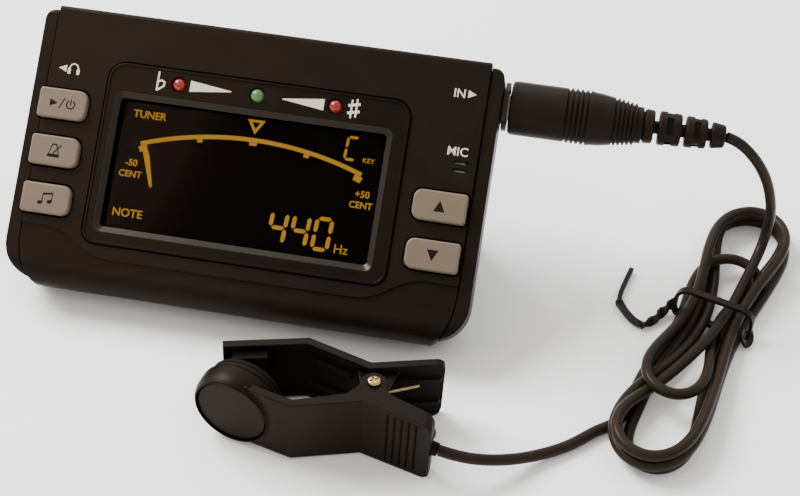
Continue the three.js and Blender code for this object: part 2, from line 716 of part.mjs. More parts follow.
// ---------------------------------------------------------------- assembly
function caseGroup() {
  const group = new THREE.Group();
  group.position.set(...CASE_PLACE, -FOOT_CUT);
  group.rotation.x = LEAN;
  group.add(
    piece('rear_cover', rearCover(), CASE_BLACK),
    piece('front_cover', frontCover(), CASE_BLACK),
    piece('battery_cover', coverSpace(0).intersect(REAR_OUTSIDE), CASE_BLACK),
    piece('display_bezel', bezel(), GLOSS_BLACK),
    piece('display_lens', screenPlate(0.7, 14.6, 15.8), CLEAR),
    piece('display_panel', screenPlate(0.5, 13.6, 14.3), PANEL),
    piece('backlight', screenPlate(0.2, 12.95, 13.3), DIFFUSER),
    piece('main_board', board(), BOARD),
    piece('keypad_left', block(-47.8, -41.5, 14.5, 46.5, 12.2, 14.2), SOFT_BLACK),
    piece('keypad_right', block(38.2, 47.8, 14.5, 35.5, 12.2, 14.2), SOFT_BLACK),
    piece('mic_capsule', rod([45.8, 40.1, 12.2], [45.8, 40.1, 14.5], 2.1, 16), STEEL),
    piece('speaker', turned(
      [[0, 2.6], [11, 2.6], [12.8, 3], [12.8, 4.2], [7, 5.2], [7, 8], [0, 8]],
      [-22, 46.4, 0],
      [0, 0, 1],
    ), STEEL),
    piece('input_jack', inputJack(), SOFT_BLACK),
    piece('input_jack_nut', ring(53.8, 54.8, JACK_Y, JACK_Z, 4.3, 5.6), STEEL),
    piece('headphone_jack', headphoneJack(), SOFT_BLACK),
    piece('battery_spring_contact', batterySprings(), STEEL),
    piece('battery_plate_contact', batteryPlate(), STEEL),
    piece('stand_pin', rod(
      [RECESS.left - 0.8, HINGE_Y, HINGE_Z],
      [RECESS.right + 0.8, HINGE_Y, HINGE_Z],
      0.7,
      12,
    ), STEEL),
  );
  BATTERY_ROWS.forEach((y, i) => group.add(piece(`battery_${i + 1}`, battery(y), BATTERY_SLEEVE)));
  SCREW_PLACES.forEach((place, i) => group.add(piece(`case_screw_${i + 1}`, caseScrew(place), STEEL)));
  for (const [name, x] of Object.entries(LED_X)) {
    group.add(piece(name, led(x), name === 'led_center' ? GREEN_LENS : RED_LENS));
  }
  for (const [name, sides, row] of BUTTONS) {
    group.add(piece(name, loft([
      { outline: buttonOutline(sides, row, 0), z: BUTTON_FOOT },
      { outline: buttonOutline(sides, row, 0), z: BUTTON_TOP - 0.5 },
      { outline: buttonOutline(sides, row, -0.5), z: BUTTON_TOP },
    ]), BUTTON_GREY));
  }
  const stand = new THREE.Group();
  stand.position.set(0, HINGE_Y, HINGE_Z);
  stand.rotation.x = STAND_OPEN;
  stand.add(piece('stand_leg', standLeg(), CASE_BLACK));
  group.add(stand);
  group.add(
    piece('plug_tip', plugTip(), STEEL),
    piece('plug_insulator', alongPlug([[0, 30.6], [2.9, 30.6], [2.9, 31.6], [0, 31.6]], 16), SOFT_BLACK),
    piece('plug_sleeve', alongPlug([[0, 31.9], [3.1, 31.9], [3.1, 55], [0, 55]], 20), STEEL),
    piece('plug_body', plugBody(), CORD_BLACK),
    piece('plug_strain_relief', strainRelief(), CORD_BLACK),
  );
  return group;
}

function clipGroup() {
  const group = new THREE.Group();
  group.position.set(...CLIP_PLACE);
  group.rotation.set(0, CLIP_TILT, CLIP_HEADING, 'ZYX');
  group.add(
    piece('lower_arm', lowerArm(), CASE_BLACK),
    piece('disc_cover', onDisc([[0, 0.3], [7.7, 0.3], [7.9, 0.5], [7.9, 1.3], [0, 1.3]]), SOFT_BLACK),
    piece('piezo_element', onDisc([[0, 2.4], [6.7, 2.4], [6.7, 2.9], [0, 2.9]], 24), BRASS),
    piece('disc_pad', onDisc([[0, 5.7], [8.2, 5.7], [8.4, 6], [8.4, 7.7], [8.1, 8], [0, 8]]), SOFT_BLACK),
    piece('upper_arm', upperArm(), CASE_BLACK),
    piece('upper_pad', plate([
      onJaw(1.9, 1.7), onJaw(9.4, 1.7), onJaw(9.4, 3.8), onJaw(1.9, 3.8),
    ], -6.5, 6.5), SOFT_BLACK),
    piece('pivot_screw', pivotScrew(), BRASS),
    piece('torsion_spring', torsionSpring(), BRASS),
    piece('cable_gland', glandRod(-2.4, 2.2, GLAND_RADIUS), SOFT_BLACK),
    piece('pickup_wire', tube([
      [9.9, -6.6, 0], [6, -5.2, 1], [1, -3.3, 4.1], [-3, -3.3, 4.1], [-9, -5.2, 3], [-15.5, -7.2, 1],
      [-18.6, -6.6, 0],
    ], 0.6, 8, 14), CORD_BLACK),
  );
  return group;
}

function cordGroup() {
  const group = new THREE.Group();
  const bundle = new THREE.Group();
  bundle.position.set(HANK.x, HANK.y, 0);
  bundle.rotation.z = THREE.MathUtils.degToRad(HANK.heading);
  bundle.add(piece('cord_hank', hank(), CORD_BLACK), piece('twist_tie', twistTie(), CORD_BLACK));
  group.add(
    piece('cord_drop', tube(DROP_ROUTE, CORD_RADIUS, 8, 12), CORD_BLACK),
    piece('cord_tail', tube(TAIL_ROUTE, CORD_RADIUS, 8, 14), CORD_BLACK),
    bundle,
  );
  return group;
}

const tuner = new THREE.Group();
tuner.add(caseGroup(), clipGroup(), cordGroup());

export default tuner;
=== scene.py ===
"""A pocket tuner and metronome on its rear stand, with a jack lead and a spring clip pickup."""
from math import cos, pi, radians, sin

import bmesh
import bpy
import numpy as np
from mathutils import Matrix, Vector


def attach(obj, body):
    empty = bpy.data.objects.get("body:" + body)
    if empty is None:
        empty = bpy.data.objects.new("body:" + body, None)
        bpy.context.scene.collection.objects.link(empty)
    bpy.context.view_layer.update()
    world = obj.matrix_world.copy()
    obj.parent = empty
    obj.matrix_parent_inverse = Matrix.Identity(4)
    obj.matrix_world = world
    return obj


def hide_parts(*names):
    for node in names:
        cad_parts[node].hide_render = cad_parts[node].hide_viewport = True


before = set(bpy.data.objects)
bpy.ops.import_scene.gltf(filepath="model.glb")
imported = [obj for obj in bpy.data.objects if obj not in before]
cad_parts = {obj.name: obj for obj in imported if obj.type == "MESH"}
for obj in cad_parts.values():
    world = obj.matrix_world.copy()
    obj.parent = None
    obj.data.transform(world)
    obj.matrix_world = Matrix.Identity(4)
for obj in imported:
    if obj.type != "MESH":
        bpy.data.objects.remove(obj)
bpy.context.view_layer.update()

MM = 0.001


# -------- places, as in the CAD
def placed(place, *turns):
    """A frame in millimetres at a place, turned by each (angle, axis) in its order."""
    made = Matrix.Translation(Vector(place) * MM)
    for angle, axis in turns:
        made = made @ Matrix.Rotation(angle, 4, axis)
    return made @ Matrix.Scale(MM, 4)


LEAN = radians(41.8)
CASE = placed((-0.65, -1.85, -3.4), (LEAN, "X"))
CLIP = placed((36.55, -33.35, 8.65), (radians(1.3), "Z"), (0.02, "Y"))
BUNDLE = placed((105.95, 10.35, 0), (radians(73.3), "Z"))

# -------- the camera
FOCAL_PIXELS, IMAGE_WIDTH, SENSOR_WIDTH = 1516, 800, 36
camera_data = bpy.data.cameras.new("camera")
camera = bpy.data.objects.new("camera", camera_data)
bpy.context.scene.collection.objects.link(camera)
bpy.context.scene.camera = camera
camera_data.sensor_width = SENSOR_WIDTH
camera_data.lens = SENSOR_WIDTH * FOCAL_PIXELS / IMAGE_WIDTH
camera_data.clip_start = 0.01
right = Vector((0.983, 0.179, 0.033)).normalized()
back = Vector((0.109, -0.7236, 0.6816))
back = (back - right * back.dot(right)).normalized()
up = back.cross(right)
camera.matrix_world = Matrix.Translation(Vector((72.19, -241.46, 251.99)) * MM) @ Matrix(
    (right, up, back)).transposed().to_4x4()

# -------- the cord
CORD_RADIUS = 1.25
OVER_FLOOR = 0.02   # the gap left under a strand
HANK_RUN, HANK_HALF, HANK_TOP = 36.4, 10.3, 7.75
ROUTE_STEP, MESH_STEP, SETTLING = 2.2, 0.9, 140
DROP = [
    (103.6, 34.61, 40.6), (104.75, 34.63, 40.5), (106.3, 34.72, 39.85), (108.35, 34.91, 38),
    (110.95, 35.16, 35.2), (112.95, 35.61, 32.3), (114.95, 36.06, 28.5), (116.35, 36.66, 24.5),
    (117.65, 37.81, 19.5), (118.3, 39.1, 14.6), (118.35, 39.4, 11.0),
]
TAIL = [
    (83.8, -23.14, 1.3), (81.2, -26.09, 1.3), (78.15, -28.89, 1.3), (71.35, -33.79, 2.2),
    (64.65, -38.19, 4.5), (58.2, -41.29, 7.2), (54.8, -41.79, 8.2), (52.04, -41.34, 8.34),
]
# In the hank's own axes (along, across, up): the strand from the plug lies on top, then four turns.
LANDING = [(30.4, -3.6, 8.2), (27.6, -3.6, 6.6)]
ON_TOP = [(23, -3.6, 6.2), (17, -3.4, 5.4), (9, -3.0, 5.0), (-2, -2.6, 5.0), (-12, 0, 5.6),
          (-22, 4.5, 6.2), (-30, 7.6, 6.3)]
# Each turn: its near fold (along, radius, height, across), then the strand's place at the waist
# (across, height), then the same for the far fold and the strand that comes back.
TURNS = [
    ((-36.5, 8.6, 6.3, 0.2), (-5.6, 3.6), (35.5, 8.4, 6.3, -0.2), (5.4, 3.6)),
    ((-19, 7.6, 6.3, 0.6), (-1.3, 1.3), (36.8, 8.7, 3.8, 0), (1.3, 1.3)),
    ((-36.8, 8.9, 3.8, 0), (-6.3, 1.3), (37, 9, 1.3, 0), (3.8, 1.3)),
    ((-36.2, 7.8, 1.3, -1.2), (-3.8, 1.3), (19.5, 7.7, 3.8, 0), (6.3, 1.3)),
]
WAIST, WAIST_HALF, WAIST_REACH = 5.3, 7.4, 9   # the tie's place, and how far it pulls the hank in
NEAR_SHIFT = 2.5   # from half a near fold's place to its way-point
LEAVING = [(-7, 6.8, 1.3), (-17, 8, 1.3), (-26.3, 8.8, 1.3), (-32.5, 9.6, 1.3)]


def fold(along, radius, height, across, end):
    """The half circle at one end of the hank."""
    return [(along + end * radius * sin(t), across - end * radius * cos(t), height)
            for t in np.linspace(0, pi, 7)]


def halfway(along, end, side, waist):
    """The way-point between a fold and a strand's place at the waist."""
    return along, (waist[0] + side * end[1]) / 2, (end[2] + waist[1]) / 2


def smooth_line(points, step):
    """A centripetal Catmull-Rom curve through the points, with points at an even step."""
    p = np.asarray(points, float)
    q = np.vstack([2 * p[0] - p[1], p, 2 * p[-1] - p[-2]])
    out = []
    for i in range(1, len(q) - 2):
        p0, p1, p2, p3 = q[i - 1:i + 3]
        t1 = np.linalg.norm(p1 - p0) ** 0.5
        t2 = t1 + np.linalg.norm(p2 - p1) ** 0.5
        t3 = t2 + np.linalg.norm(p3 - p2) ** 0.5
        t = np.linspace(t1, t2, max(3, int(np.linalg.norm(p2 - p1) / 0.4)), endpoint=False)[:, None]
        a1 = (t1 - t) / t1 * p0 + t / t1 * p1
        a2 = (t2 - t) / (t2 - t1) * p1 + (t - t1) / (t2 - t1) * p2
        a3 = (t3 - t) / (t3 - t2) * p2 + (t - t2) / (t3 - t2) * p3
        b1 = (t2 - t) / t2 * a1 + t / t2 * a2
        b2 = (t3 - t) / (t3 - t1) * a2 + (t - t1) / (t3 - t1) * a3
        out.append((t2 - t) / (t2 - t1) * b1 + (t - t1) / (t2 - t1) * b2)
    return even(np.vstack([*out, p[-1:]]), step)


def even(line, step):
    """The same line with its points at an even step."""
    run = np.r_[0, np.cumsum(np.linalg.norm(np.diff(line, axis=0), axis=1))]
    at = np.linspace(0, run[-1], int(round(run[-1] / step)) + 1)
    return np.c_[[np.interp(at, run, line[:, k]) for k in range(3)]].T


def settle(line, held, rounds):
    """Moves strands that lie in each other apart, keeps bends round and stays inside the hank."""
    line, free = line.copy(), ~held
    neighbours, apart, sink = 5, 2.06 * CORD_RADIUS, 0.002
    i, j = np.triu_indices(len(line), neighbours)
    for _ in range(rounds):
        between = line[i] - line[j]
        gap = np.sqrt((between ** 2).sum(1)) + 1e-9
        near = gap < apart
        push = between[near] / gap[near, None] * (apart - gap[near])[:, None] * 0.3
        move, count = np.zeros_like(line), np.zeros(len(line))
        np.add.at(move, i[near], push)
        np.add.at(move, j[near], -push)
        np.add.at(count, i[near], 1)
        np.add.at(count, j[near], 1)
        line += (move / np.maximum(count, 1)[:, None] * 1.6) * free[:, None]
        for _ in range(2):
            bend, twice = np.zeros_like(line), np.zeros_like(line)
            bend[1:-1] = (line[:-2] + line[2:]) / 2 - line[1:-1]
            twice[1:-1] = (bend[:-2] + bend[2:]) / 2 - bend[1:-1]
            line -= 0.4 * twice * free[:, None]
        line[free, 2] -= sink
        middle = np.c_[np.clip(line[:, 0], -HANK_RUN, HANK_RUN), np.zeros(len(line))]
        off = line[:, :2] - middle
        far = np.linalg.norm(off, axis=1)
        room = HANK_HALF - CORD_RADIUS - 0.05
        squeeze = np.exp(-((line[:, 0] - WAIST) / WAIST_REACH) ** 2)
        room = room - (room - WAIST_HALF) * squeeze
        out = (far > room) & free
        line[out, :2] = middle[out] + off[out] / far[out, None] * room[out, None]
        line[free, 2] = np.clip(line[free, 2], CORD_RADIUS + OVER_FLOOR, HANK_TOP - CORD_RADIUS)
    return line


def cord_line():
    """The lead's whole centreline in the object's frame, in metres, from the plug to the clip."""
    inside = BUNDLE.inverted()
    drop = [tuple(inside @ (Vector(p) * MM)) for p in DROP]
    tail = [tuple(inside @ (Vector(p) * MM)) for p in TAIL]
    route = drop + LANDING + ON_TOP
    for k, (near, out, far, home) in enumerate(TURNS):
        past_waist = (far[0] + WAIST) / 2
        route += [*fold(*near, -1), halfway(near[0] / 2 + NEAR_SHIFT, near, -1, out), (WAIST, *out),
                  halfway(past_waist, far, -1, out), *fold(*far, 1),
                  halfway(past_waist, far, 1, home), (WAIST, *home)]
        if k + 1 < len(TURNS):
            after = TURNS[k + 1][0]
            route.append(halfway(after[0] / 2 + NEAR_SHIFT, after, 1, home))
    route += LEAVING + tail
    line = smooth_line(route, ROUTE_STEP)
    held = np.zeros(len(line), bool)
    held[:int(np.argmin(np.linalg.norm(line - np.array(LANDING[1]), axis=1))) + 1] = True
    held[int(np.argmin(np.linalg.norm(line - np.array(tail[0]), axis=1))):] = True
    line = even(settle(line, held, SETTLING), ROUTE_STEP)
    for _ in range(2):
        line[1:-1] = line[:-2] / 4 + line[1:-1] / 2 + line[2:] / 4
    line[:, 2] = np.maximum(line[:, 2], CORD_RADIUS + OVER_FLOOR)
    place = np.array(BUNDLE)
    return line @ place[:3, :3].T + place[:3, 3]


# -------- materials
PER_METRE = 1000
GLOSS_DRIFT = 0.06           # how far roughness drifts each way
EDGE_POINTED = (0.52, 0.62)  # the pointiness at which the painted edge highlight starts and is full


def surface(name, color, roughness, metallic=0.0, grain=(6, 0.006), patches=(0.12, 0.12),
            wear=0.0, **sockets):
    """A finish whose colour and gloss drift slowly and whose fine grain stands up from the surface.
    grain is its frequency per millimetre and its height in millimetres; patches is the same for the
    drift of the colour, with its share."""
    made = bpy.data.materials.new(name)
    made.use_nodes = True
    nodes, links = made.node_tree.nodes, made.node_tree.links

    def fill(node, values):
        for socket, value in values.items():
            socket = node.inputs[socket.replace("_", " ")]
            if isinstance(value, bpy.types.NodeSocket):
                links.new(value, socket)
            else:
                socket.default_value = value

    def add(kind, output, settings=(), **values):
        """A node with its sockets set or linked; gives one of its outputs."""
        node = nodes.new("ShaderNode" + kind)
        for setting, value in settings:
            setattr(node, setting, value)
        fill(node, values)
        return node.outputs[output]

    scaled = add("VectorMath", "Vector", [("operation", "SCALE")], Vector=add("TexCoord", "Object"),
                 Scale=PER_METRE)
    drift = add("TexNoise", "Fac", Vector=scaled, Scale=patches[0], Detail=4)
    tint = add("ValToRGB", "Color", Fac=drift)
    share = patches[1]
    stops = tint.node.color_ramp.elements
    for stop, at, light in zip(stops, (0.3, 0.7), (1 - share, 1 + share)):
        stop.position = at
        stop.color = (*[min(c * light, 1) for c in color], 1)
    fine = add("TexNoise", "Fac", Vector=scaled, Scale=grain[0], Detail=3)
    bump = add("Bump", "Normal", Height=fine, Distance=grain[1] * MM, Strength=1)
    # painted highlight: sharp edges are lightened towards a brighter copy of the colour, as if light
    # caught them
    if wear:
        sharp = add("MapRange", "Result", Value=add("NewGeometry", "Pointiness"),
                    From_Min=EDGE_POINTED[0], From_Max=EDGE_POINTED[1], To_Max=wear)
        tint = add("Mix", "Result", [("data_type", "RGBA")], Factor=sharp, A=tint,
                   B=(*[min(c * 2.2 + 0.01, 1) for c in color], 1))
    gloss = add("MapRange", "Result", Value=drift, To_Min=max(roughness - GLOSS_DRIFT, 0.02),
                To_Max=roughness + GLOSS_DRIFT)
    fill(nodes["Principled BSDF"], dict(Metallic=metallic, Normal=bump, Base_Color=tint,
                                        Roughness=gloss, **sockets))
    return made


def dark(name, color, roughness, **more):
    """Dark plastic or rubber, whose weak warm shine keeps it near black."""
    return surface(name, color, roughness, Specular_IOR_Level=0.08,
                   Specular_Tint=(1, 0.78, 0.62, 1), **more)


# case_black, clip_black and plug_black get a painted highlight that lightens their sharp edges
case_black = dark("case_black", (0.0068, 0.0046, 0.0031), 0.42, grain=(7, 0.004), wear=0.25)
bezel_black = dark("bezel_black", (0.0052, 0.0036, 0.0025), 0.33, grain=(7, 0.003))
clip_black = dark("clip_black", (0.0055, 0.0036, 0.0023), 0.42, grain=(5, 0.005), wear=0.3)
disc_black = dark("disc_black", (0.005, 0.0028, 0.0015), 0.42, grain=(8, 0.006))
rubber_black = dark("rubber_black", (0.008, 0.0056, 0.004), 0.75, grain=(9, 0.01))
plug_black = dark("plug_black", (0.0088, 0.0062, 0.0045), 0.42, grain=(6, 0.005), wear=0.2)
cord_black = dark("cord_black", (0.0165, 0.0115, 0.008), 0.34, grain=(3, 0.006), patches=(0.06, 0.15))
tie_black = dark("tie_black", (0.0085, 0.006, 0.0044), 0.35, grain=(4, 0.008))
# button_grey gets a painted highlight that lightens its sharp edges
button_grey = surface(
    "button_grey", (0.125, 0.097, 0.07), 0.42, grain=(6, 0.005),
    patches=(0.1, 0.05), wear=0.15, Specular_IOR_Level=0.3,
    Specular_Tint=(1, 0.88, 0.75, 1))
icon_dark = dark("icon_dark", (0.008, 0.006, 0.005), 0.6)
print_white = surface("print_white", (0.56, 0.5, 0.42), 0.5, patches=(1.5, 0.06))
brass = surface("brass", (0.38, 0.26, 0.13), 0.32, metallic=1.0, grain=(9, 0.004),
                patches=(0.6, 0.2))
nickel = surface(
    "nickel", (0.55, 0.5, 0.45), 0.22, metallic=1.0, grain=(9, 0.002),
    patches=(0.5, 0.1))
steel_cad = surface("steel_cad", (0.45, 0.44, 0.42), 0.35, metallic=1.0)
nickel_cad = surface("nickel_cad", (0.3, 0.26, 0.22), 0.3, metallic=1.0)
panel_black = surface(
    "panel_black", (0.0022, 0.0005, 0.0005), 0.12, grain=(3, 0.0002),
    Specular_IOR_Level=0.08)
diffuser = surface("diffuser", (0.75, 0.72, 0.65), 0.6)
board_green = surface("board_green", (0.02, 0.12, 0.05), 0.4, patches=(0.5, 0.3))
rubber_cad = dark("rubber_cad", (0.009, 0.0065, 0.005), 0.8)
brass_cad = surface("brass_cad", (0.42, 0.27, 0.16), 0.32, metallic=1.0)
sleeve = surface("sleeve", (0.05, 0.05, 0.048), 0.35, patches=(0.3, 0.2))
socket_black = dark("socket_black", (0.009, 0.0065, 0.005), 0.5)
nut_black = surface("nut_black", (0.035, 0.028, 0.022), 0.42, metallic=1.0)
amber = surface("amber", (0.06, 0.03, 0.002), 0.5, patches=(1, 0.05),
                Emission_Color=(0.6, 0.32, 0.004, 1), Emission_Strength=1.0)
red_lens = surface(
    "red_lens", (0.16, 0.006, 0.003), 0.12, patches=(1.2, 0.3), grain=(4, 0.002),
    Emission_Color=(0.3, 0.008, 0.003, 1), Emission_Strength=0.2, Coat_Weight=0.15)
green_lens = surface(
    "green_lens", (0.05, 0.12, 0.035), 0.12, patches=(1.2, 0.3), grain=(4, 0.002),
    Emission_Color=(0.08, 0.2, 0.05, 1), Emission_Strength=0.25, Coat_Weight=0.15)
# no shine of its own: the panel behind it carries the reflection
clear_lens = surface(
    "clear_lens", (0.62, 0.58, 0.56), 0.0, patches=(0.05, 0.03),
    grain=(0.4, 0.00002), Transmission_Weight=1.0, IOR=1.0)
frame_black = surface(
    "frame_black", (0.011, 0.0085, 0.0065), 0.3, grain=(7, 0.002),
    Specular_IOR_Level=0.2, Specular_Tint=(1, 0.85, 0.7, 1))

# -------- shapes, in millimetres


def shown(data):
    """An object of a mesh, curve or light, put into the scene."""
    made = bpy.data.objects.new(data.name, data)
    bpy.context.scene.collection.objects.link(made)
    return made


def made_of(points, faces):
    """A mesh object with its doubled points joined and its faces turned outwards."""
    mesh = bpy.data.meshes.new("shape")
    mesh.from_pydata([tuple(map(float, p)) for p in points], [], [tuple(map(int, f)) for f in faces])
    shape = shown(mesh)
    clean = bmesh.new()
    clean.from_mesh(mesh)
    bmesh.ops.remove_doubles(clean, verts=clean.verts, dist=1e-5)
    bmesh.ops.recalc_face_normals(clean, faces=clean.faces)
    clean.to_mesh(mesh)
    clean.free()
    return shape


def loft(layers):
    """A closed skin through outlines of [x, y] points, each with its height."""
    n = len(layers[0][0])
    points = [(x, y, z) for outline, z in layers for x, y in outline]
    faces = [(k * n + i, k * n + (i + 1) % n, (k + 1) * n + (i + 1) % n, (k + 1) * n + i)
             for k in range(len(layers) - 1) for i in range(n)]
    faces += [tuple(reversed(range(n))), tuple((len(layers) - 1) * n + i for i in range(n))]
    return made_of(points, faces)


def plate(outline, z0, z1):
    """An outline of [x, y] points pushed along z."""
    return loft([(outline, z0), (outline, z1)])


def block(x0, x1, y0, y1, z0, z1):
    return plate([(x0, y0), (x1, y0), (x1, y1), (x0, y1)], z0, z1)


def skin_between(points):
    """The closed skin between an outline and its copy, both in one list."""
    n = len(points) // 2
    faces = [(i, (i + 1) % n, n + (i + 1) % n, n + i) for i in range(n)]
    return made_of(points, faces + [tuple(range(n)), tuple(range(n, 2 * n))])


def bar(outline, x0, x1):
    """An outline of [y, z] points pushed along x."""
    return skin_between([(x, y, z) for x in (x0, x1) for y, z in outline])


def standing(outline, y0, y1):
    """An outline of [x, z] points pushed along y."""
    return skin_between([(x, y, z) for y in (y0, y1) for x, z in outline])


def turned(profile, place, axis, sides=48):
    """A profile of [radius, height] points, from axis to axis, turned about an axis at a place."""
    spin = Vector(axis).normalized().to_track_quat("Z", "Y").to_matrix()
    points, rings = [], []
    for radius, height in profile:
        count = 1 if radius < 1e-6 else sides
        rings.append(list(range(len(points), len(points) + count)))
        for k in range(count):
            a = 2 * pi * k / sides
            local = Vector((radius * cos(a), radius * sin(a), height))
            points.append(Vector(place) + spin @ local)
    faces = []
    for a, b in zip(rings, rings[1:]):
        for k in range(sides):
            j = (k + 1) % sides
            ring = [a[k % len(a)], a[j % len(a)], b[j % len(b)], b[k % len(b)]]
            ring = list(dict.fromkeys(ring))
            if len(ring) > 2:
                faces.append(ring)
    return made_of(points, faces)


def rod(start, end, radius, sides=24):
    along = Vector(end) - Vector(start)
    profile = [(0, 0), (radius, 0), (radius, along.length), (0, along.length)]
    return turned(profile, start, along, sides)


def swept(line, section, close=False, twist=0.0, scale=None):
    """A section of [across, up] points carried along a line; twist is in turns over its length."""
    line = [Vector(p) for p in line]
    n, m = len(line), len(section)
    points = []
    side = None
    for i, at in enumerate(line):
        ahead = line[(i + 1) % n] if close else line[min(i + 1, n - 1)]
        behind = line[i - 1] if close else line[max(i - 1, 0)]
        along = (ahead - behind).normalized()
        if side is None:
            side = along.cross(Vector((0, 0, 1)))
            side = side if side.length > 0.1 else along.cross(Vector((0, 1, 0)))
        side = (side - along * side.dot(along)).normalized()
        top = side.cross(along)
        turn = 2 * pi * twist * i / max(n - 1, 1)
        size = 1 if scale is None else scale[i]
        for x, y in section:
            x, y = (x * cos(turn) - y * sin(turn)) * size, (
                x * sin(turn) + y * cos(turn)) * size
            points.append(at + side * x + top * y)
    last = n if close else n - 1
    faces = [(i * m + k, i * m + (k + 1) % m, (i + 1) % n * m + (k + 1) % m, (i + 1) % n * m + k)
             for i in range(last) for k in range(m)]
    if not close:
        faces += [tuple(reversed(range(m))), tuple((n - 1) * m + k for k in range(m))]
    return made_of(points, faces)


def circle(radius, sides):
    return [(radius * cos(a), radius * sin(a))
            for a in (2 * pi * k / sides for k in range(sides))]


def strap(half_width, half_height):
    """The section of a flat strip."""
    return [(-half_width, -half_height), (half_width, -half_height), (half_width, half_height),
            (-half_width, half_height)]


def combined(base, how, *others):
    """Joins, cuts or intersects base with the other shapes, which are used up."""
    for other in others:
        step = base.modifiers.new("step", "BOOLEAN")
        step.operation, step.solver, step.object = how, "MANIFOLD", other
    bpy.context.view_layer.update()
    result = bpy.data.meshes.new_from_object(base.evaluated_get(bpy.context.evaluated_depsgraph_get()))
    base.modifiers.clear()
    base.data = result
    for other in others:
        bpy.data.objects.remove(other)
    return base


def joined(base, *others):
    return combined(base, "UNION", *others)


def cut(base, *others):
    return combined(base, "DIFFERENCE", *others)


def common(base, *others):
    return combined(base, "INTERSECT", *others)


def gathered(*shapes):
    """Several shapes in one mesh, without joining their surfaces."""
    whole = bmesh.new()
    for shape in shapes:
        whole.from_mesh(shape.data)
        bpy.data.objects.remove(shape)
    mesh = bpy.data.meshes.new("gathered")
    whole.to_mesh(mesh)
    whole.free()
    return shown(mesh)


def arc(x, y, rx, ry, start, end, steps=8):
    """Points of a stretch of an ellipse, from one angle to another, in degrees."""
    angles = [radians(start + (end - start) * i / steps) for i in range(steps + 1)]
    return [(x + rx * cos(a), y + ry * sin(a)) for a in angles]


def rounded(x0, x1, y0, y1, radii, steps=8):
    """A rectangle whose corners have these radii: bottom left, bottom right, top right, top left."""
    bl, br, tr, tl = radii if isinstance(radii, tuple) else (radii,) * 4
    return (arc(x0 + bl, y0 + bl, bl, bl, 180, 270, steps)
            + arc(x1 - br, y0 + br, br, br, 270, 360, steps)
            + arc(x1 - tr, y1 - tr, tr, tr, 0, 90, steps)
            + arc(x0 + tl, y1 - tl, tl, tl, 90, 180, steps))


def softened(points, radius, steps=5):
    """A closed outline whose corners are rounded to about a radius."""
    out = []
    n = len(points)
    for i, corner in enumerate(points):
        corner = Vector(corner)
        before, after = Vector(points[i - 1]) - corner, Vector(points[(i + 1) % n]) - corner
        reach = min(radius, before.length * 0.45, after.length * 0.45)
        a, b = corner + before.normalized() * reach, corner + after.normalized() * reach
        for t in np.linspace(0, 1, steps + 1):
            out.append(tuple(a * (1 - t) ** 2 + corner * 2 * t * (1 - t) + b * t * t))
    return out


DOUBLED, FLAT_WITHIN = 2e-4, 1e-3   # points closer than this are one; edges flatter than this vanish


def piece(shape, name, place, body, look, nodes=(), bevel=0.0, segments=2, limit=32,
          smooth=True, even=False):
    """Names a shape, gives it its look and softened edges, puts it in its place and on its body.
    even splits its flats into well-shaped triangles first, so a bevel draws no slivers across them."""
    shape.name = name
    shape.data.name = name
    shape.data.materials.clear()
    shape.data.materials.append(look)
    tidy = bmesh.new()
    tidy.from_mesh(shape.data)
    bmesh.ops.remove_doubles(tidy, verts=tidy.verts, dist=DOUBLED)
    bmesh.ops.dissolve_degenerate(tidy, dist=DOUBLED / 2, edges=tidy.edges)
    if even:
        bmesh.ops.triangulate(tidy, faces=tidy.faces)
        flat = [e for e in tidy.edges if len(e.link_faces) == 2 and e.calc_face_angle() < FLAT_WITHIN]
        bmesh.ops.beautify_fill(tidy, faces=tidy.faces, edges=flat, method="ANGLE")
    tidy.to_mesh(shape.data)
    tidy.free()
    for face in shape.data.polygons:
        face.use_smooth = smooth
    if bevel:
        edge = shape.modifiers.new("edges", "BEVEL")
        edge.width, edge.segments, edge.angle_limit = bevel * MM, segments, radians(limit)
        edge.limit_method, edge.use_clamp_overlap, edge.miter_outer = "ANGLE", False, "MITER_ARC"
        edge.loop_slide, edge.harden_normals = not even, even
        if not even:
            shape.modifiers.new("normals", "WEIGHTED_NORMAL").keep_sharp = True
    elif smooth:
        shape.data.set_sharp_from_angle(angle=radians(limit))
        shape.modifiers.new("normals", "WEIGHTED_NORMAL").keep_sharp = True
    shape.data.transform(place)
    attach(shape, body)
    if nodes:
        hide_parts(*nodes)
    return shape


cord_points = smooth_line(cord_line() / MM, MESH_STEP)[::-1]
cord = piece(swept(cord_points, circle(CORD_RADIUS, 14)), "cord", Matrix.Scale(MM, 4), "lead",
             cord_black, ["cord_drop", "cord_hank", "cord_tail"], limit=60)

# -------- the case
HALF, HEIGHT, SPLIT, WALL = 53.5, 64.5, 8.2, 2
TALL = 20   # higher than the face, for shapes that cut or bound it
STAND_HINGE, STAND_ANGLE = (38, 1.7), radians(71.961452)
LEG_SIDES, LEG_LENGTH = (11.8, 46.2), 24
STAND = CASE @ Matrix.Translation((0, *STAND_HINGE)) @ Matrix.Rotation(STAND_ANGLE, 4, "X")
JACK, JACK_BORE = (56.5, 8.5), 4.4
PHONES, PHONES_BORE = (49.5, 8.5), 3.3
SCREWS = [(-46, 57.9), (10, 57.9), (14.5, 8), (46, 8)]
LEDS = {"led_flat": -19.5, "led_center": -1.3, "led_sharp": 16.8}
LED_Y, LED_RADIUS = 49.7, 1.5
LEFT_SIDES, RIGHT_SIDES = (-51.1, -39.7), (37.5, 49.7)
BUTTONS = [("power", LEFT_SIDES, 41.5), ("mode", LEFT_SIDES, 30.55), ("note", LEFT_SIDES, 19.5),
           ("up", RIGHT_SIDES, 30.55), ("down", RIGHT_SIDES, 19.5)]


def case_outline(inset):
    small, large = max(2.5 - inset, 0.5), max(8.5 - inset, 1)
    return rounded(-HALF + inset, HALF - inset, 1 + inset, HEIGHT - 1 - inset,
                   (large, large, small, small), 10)


